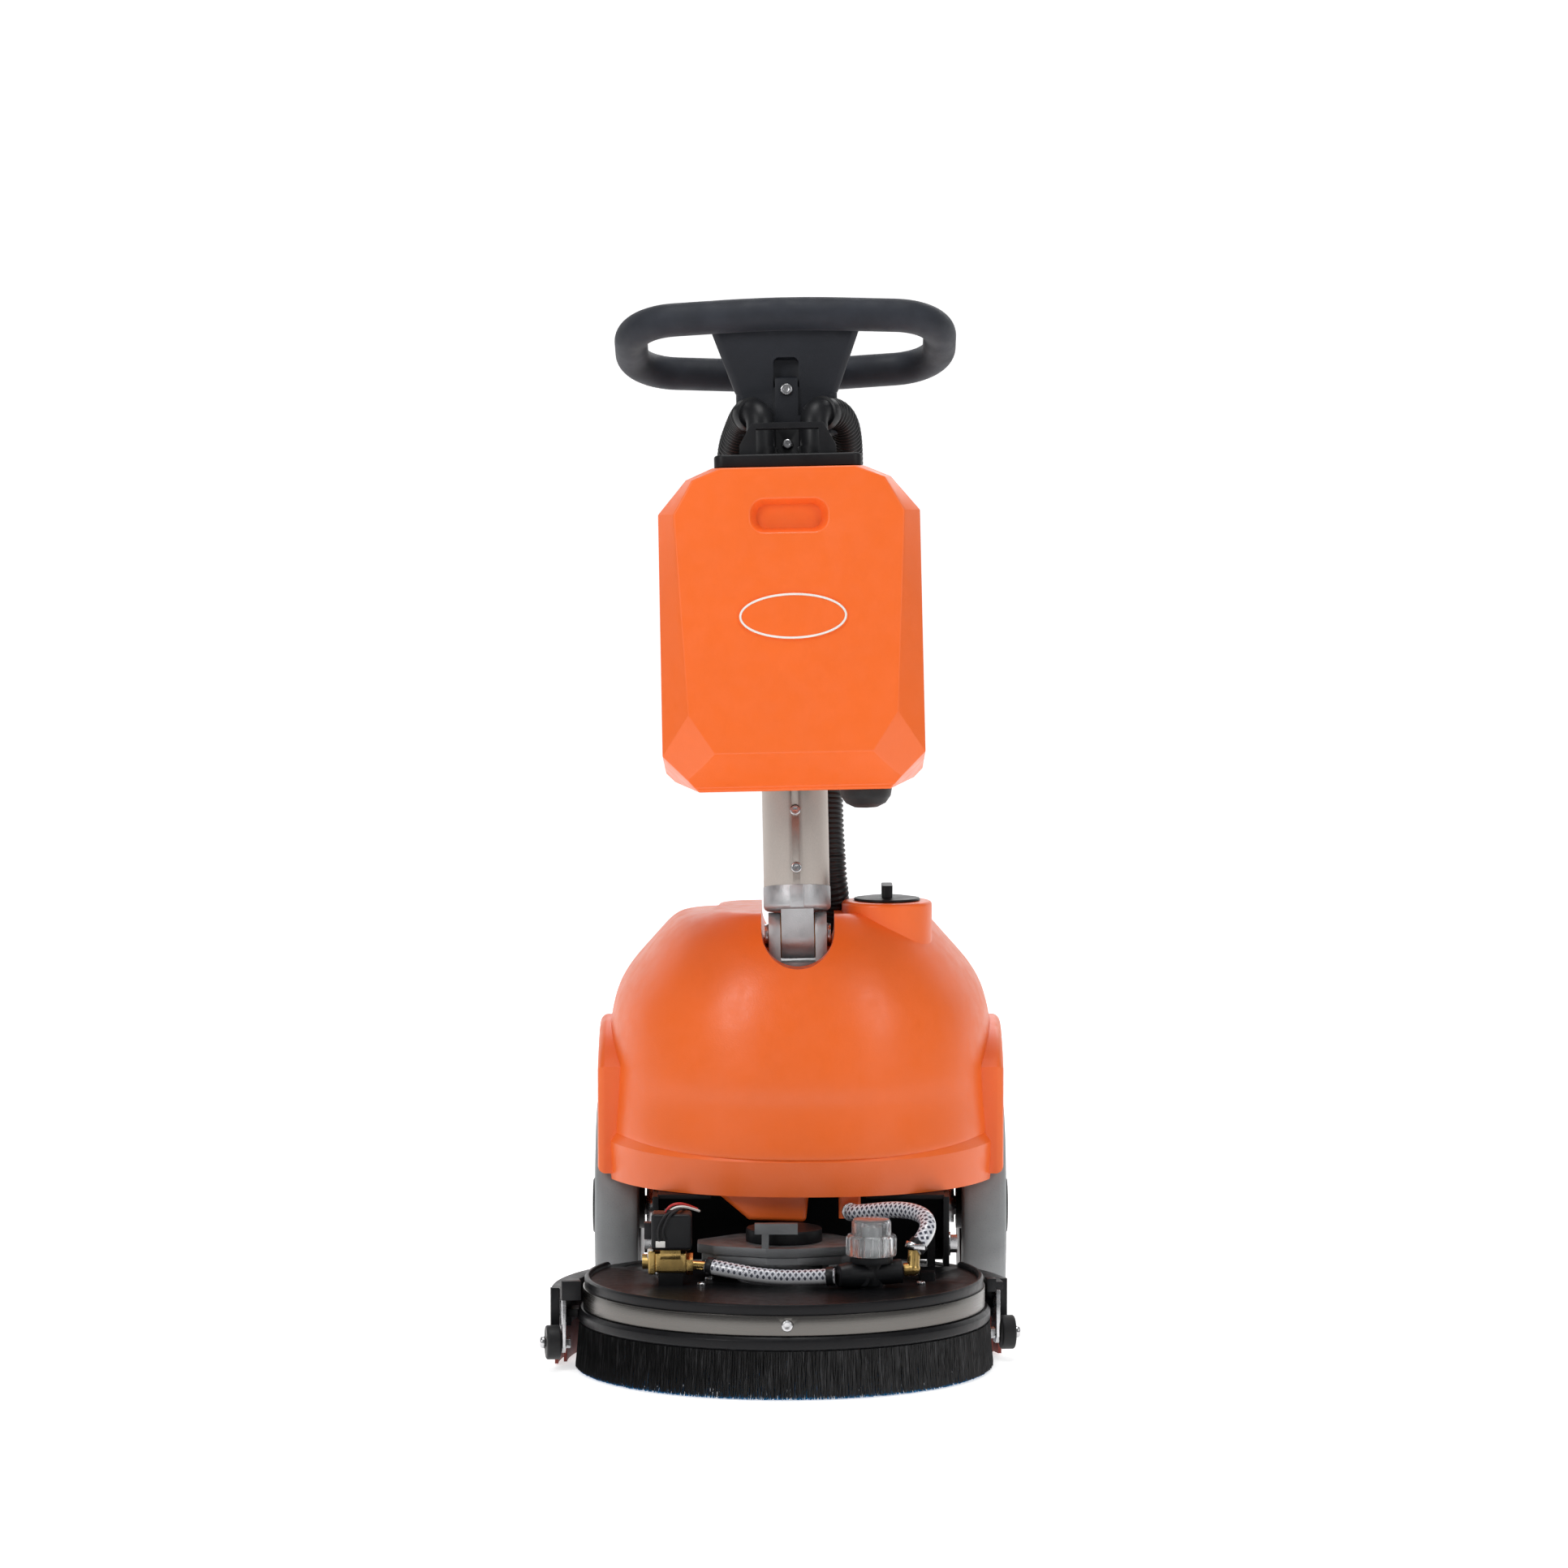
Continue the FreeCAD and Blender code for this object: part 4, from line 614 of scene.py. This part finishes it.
def small_box(name, centre, size, matrix, material, body):
    """Rounded block, its centre and size in mm."""
    low = [c - half / 2 for c, half in zip(centre, size)]
    corners = [(low[0] + i * size[0], low[1] + j * size[1], low[2] + k * size[2])
               for k in (0, 1) for j in (0, 1) for i in (0, 1)]
    faces = [(0, 2, 3, 1), (4, 5, 7, 6), (0, 1, 5, 4), (2, 6, 7, 3), (0, 4, 6, 2), (1, 3, 7, 5)]
    block = mesh_object(name, [place(matrix, c) for c in corners], faces, material, body, smooth=False)
    refine(block, 0.7, weld=False)
    return block


def clip_band(name, centre, along, radius, width, matrix, material, body):
    """Thin metal band round a hose."""
    step = Vector(along).normalized() * width / 2
    middle_at = Vector(centre)
    path = [place(matrix, middle_at + step * part) for part in (-1.0, -0.96, 0.96, 1.0)]
    edge = [0.0, width * 0.02, width * 0.98, width]

    def radius_at(distance):
        return (radius if edge[1] * 0.5 < distance / MM < width * 0.985 else radius - 0.5) * MM

    sweep(name, path, radius_at, material, body, 48, first_side=(0.1, 0.3, 1.0))


def thin_wire(name, points, radius, matrix, material, body):
    path = spline_points([place(matrix, p) for p in points], 0.002)
    sweep(name, path, lambda s: radius * MM, material, body, 10, first_side=(0.2, 1.0, 0.1))


RED_LEAD = [(-117, -37, 157.5), (-115, -38, 163), (-108, -37, 167), (-98, -30, 166), (-86, -12, 158)]
WHITE_LEAD = [(-114, -37, 157.5), (-112, -38, 161), (-105, -37, 164), (-96, -30, 163), (-84, -12, 156)]
LEAD_R = 1.3


def make_fittings(mats):
    """Hose bands, the valve's connector and its thin cable."""
    clip_band("feed_band_low", (128, -56, 127.5), (0.35, 0.15, 1.0), 9.0, 6.0, ON_DECK, mats["zinc"], "deck")
    small_box("feed_band_screw", (133, -65, 128), (11, 5, 6), ON_DECK, mats["zinc"], "deck")
    clip_band("feed_band_end", (67, 48, 147), (0, 1, 0), 8.9, 9.0, ON_DECK, mats["zinc"], "chassis")
    small_box("valve_tab", (-121.7, -51, 128.5), (9.5, 2.6, 6.4), ON_DECK, mats["badge"], "deck")
    small_box("valve_plug", (-132.0, -42, 117.6), (5.6, 6, 10), ON_DECK, mats["badge"], "deck")
    thin_wire("valve_lead_red", RED_LEAD, LEAD_R, ON_DECK, mats["red_cable"], "deck")
    thin_wire("valve_lead_white", WHITE_LEAD, LEAD_R, ON_DECK, mats["badge"], "deck")


BADGE_HALF = (52.5, 21.8)
BADGE_AT = (2, -166.0, 305)


def make_badge(mats):
    """Plain oval outline on the front of the recovery tank."""
    verts, faces = [], []
    steps, across = 96, 6
    for k in range(steps):
        angle = 2 * math.pi * k / steps
        centre = Vector((BADGE_AT[0] + BADGE_HALF[0] * math.cos(angle), 0.0,
                         BADGE_AT[2] + BADGE_HALF[1] * math.sin(angle)))
        normal = Vector((math.cos(angle) / BADGE_HALF[0], 0.0, math.sin(angle) / BADGE_HALF[1])).normalized()
        for j in range(across):
            turn = 2 * math.pi * j / across
            offset = normal * (1.1 * math.cos(turn)) + Vector((0.0, BADGE_AT[1] + 0.35 * math.sin(turn), 0.0))
            verts.append(place(LEANED, centre + offset))
    for k in range(steps):
        for j in range(across):
            a, b = k * across + j, k * across + (j + 1) % across
            c, d = ((k + 1) % steps) * across + (j + 1) % across, ((k + 1) % steps) * across + j
            faces.append((a, b, c, d))
    mesh_object("badge_outline", verts, faces, mats["badge"], "recovery")


def make_floor():
    """Pale floor that curves up into a backdrop."""
    mesh = bpy.data.meshes.new("floor")
    width, front, back, bend, height = 12.0, -9.0, 5.0, 2.0, 7.0
    profile = [(front, 0.0), (back, 0.0)]
    profile += [(back + bend * math.sin(a), bend - bend * math.cos(a)) for a in
                [math.radians(10 * k) for k in range(1, 10)]]
    profile.append((back + bend, height))
    verts = [(x, y, z - 0.0004) for y, z in profile for x in (-width, width)]
    faces = [(2 * i, 2 * i + 1, 2 * i + 3, 2 * i + 2) for i in range(len(profile) - 1)]
    mesh.from_pydata(verts, [], faces)
    for face in mesh.polygons:
        face.use_smooth = True
    floor = bpy.data.objects.new("floor", mesh)
    bpy.context.scene.collection.objects.link(floor)
    paint = Surface("floor_paint", (0.90, 0.90, 0.90), 0.6)
    paint.tint(paint.noise(2.0, 3.0), 0.3, 0.7, (0.89, 0.89, 0.89), (0.91, 0.91, 0.91))
    paint.bsdf.inputs["Emission Color"].default_value = (1.0, 1.0, 1.0, 1.0)
    paint.bsdf.inputs["Emission Strength"].default_value = 0.62
    mesh.materials.append(paint.material)


FINISH = {
    "orange": ("clean_water_tank", "recovery_tank"),
    "black_plastic": ("filler_cap", "rim_left", "rim_right", "valve_coil", "hose_clamps", "filter_head",
                      "brush_disc", "squeegee_channel", "tank_cradle", "vacuum_housing",
                      "tank_lid", "lid_bracket",
                      "lid_elbows", "control_panel", "dead_man_lever"),
    "console": ("handle_console",),
    "foam": ("handle_grip",),
    "black_steel": ("deck_cover", "deck_pan", "squeegee_ring"),
    "frame_steel": ("base_frame", "brush_motor"),
    "rubber": ("roller_left", "roller_right", "drain_cap", "valve_wires"),
    "red_rubber": ("squeegee_blades",),
    "tyre": ("tyre_left", "tyre_right"),
    "band": ("deck_band",),
    "zinc": ("wheel_axle", "fold_pin", "float_bolts", "deck_screws", "end_plates", "column_screws"),
    "champagne": ("column_tube",),
    "cast": ("column_collar", "hinge_yoke"),
    "cast_dark": ("gearbox", "controller_box"),
    "bronze": ("thrust_washers",),
    "brass": ("valve_body", "brass_elbow"),
    "clear": ("filter_bowl",),
    "mesh_steel": ("filter_strainer",),
    "display": ("display_lens",),
    "green": ("button_brush",),
    "blue_button": ("button_water",),
    "grey_button": ("button_suction",),
    "battery": ("battery_pack",),
}
BEVEL_MM = {"clean_water_tank": 0.0, "recovery_tank": 0.0, "handle_grip": 0.0, "tyre_left": 1.5,
            "tyre_right": 1.5, "deck_band": 0.2, "valve_wires": 0.0, "filter_strainer": 0.1,
            "deck_screws": 0.25, "column_screws": 0.25, "thrust_washers": 0.1, "squeegee_blades": 0.3}

make_camera()
make_light()
make_floor()
MATS = make_materials()
for finish, names in FINISH.items():
    for node_name in names:
        dress(node_name, MATS[finish], BEVEL_MM.get(node_name, 0.5))
make_hoses(MATS)
make_bristles(MATS)
make_badge(MATS)
make_fittings(MATS)
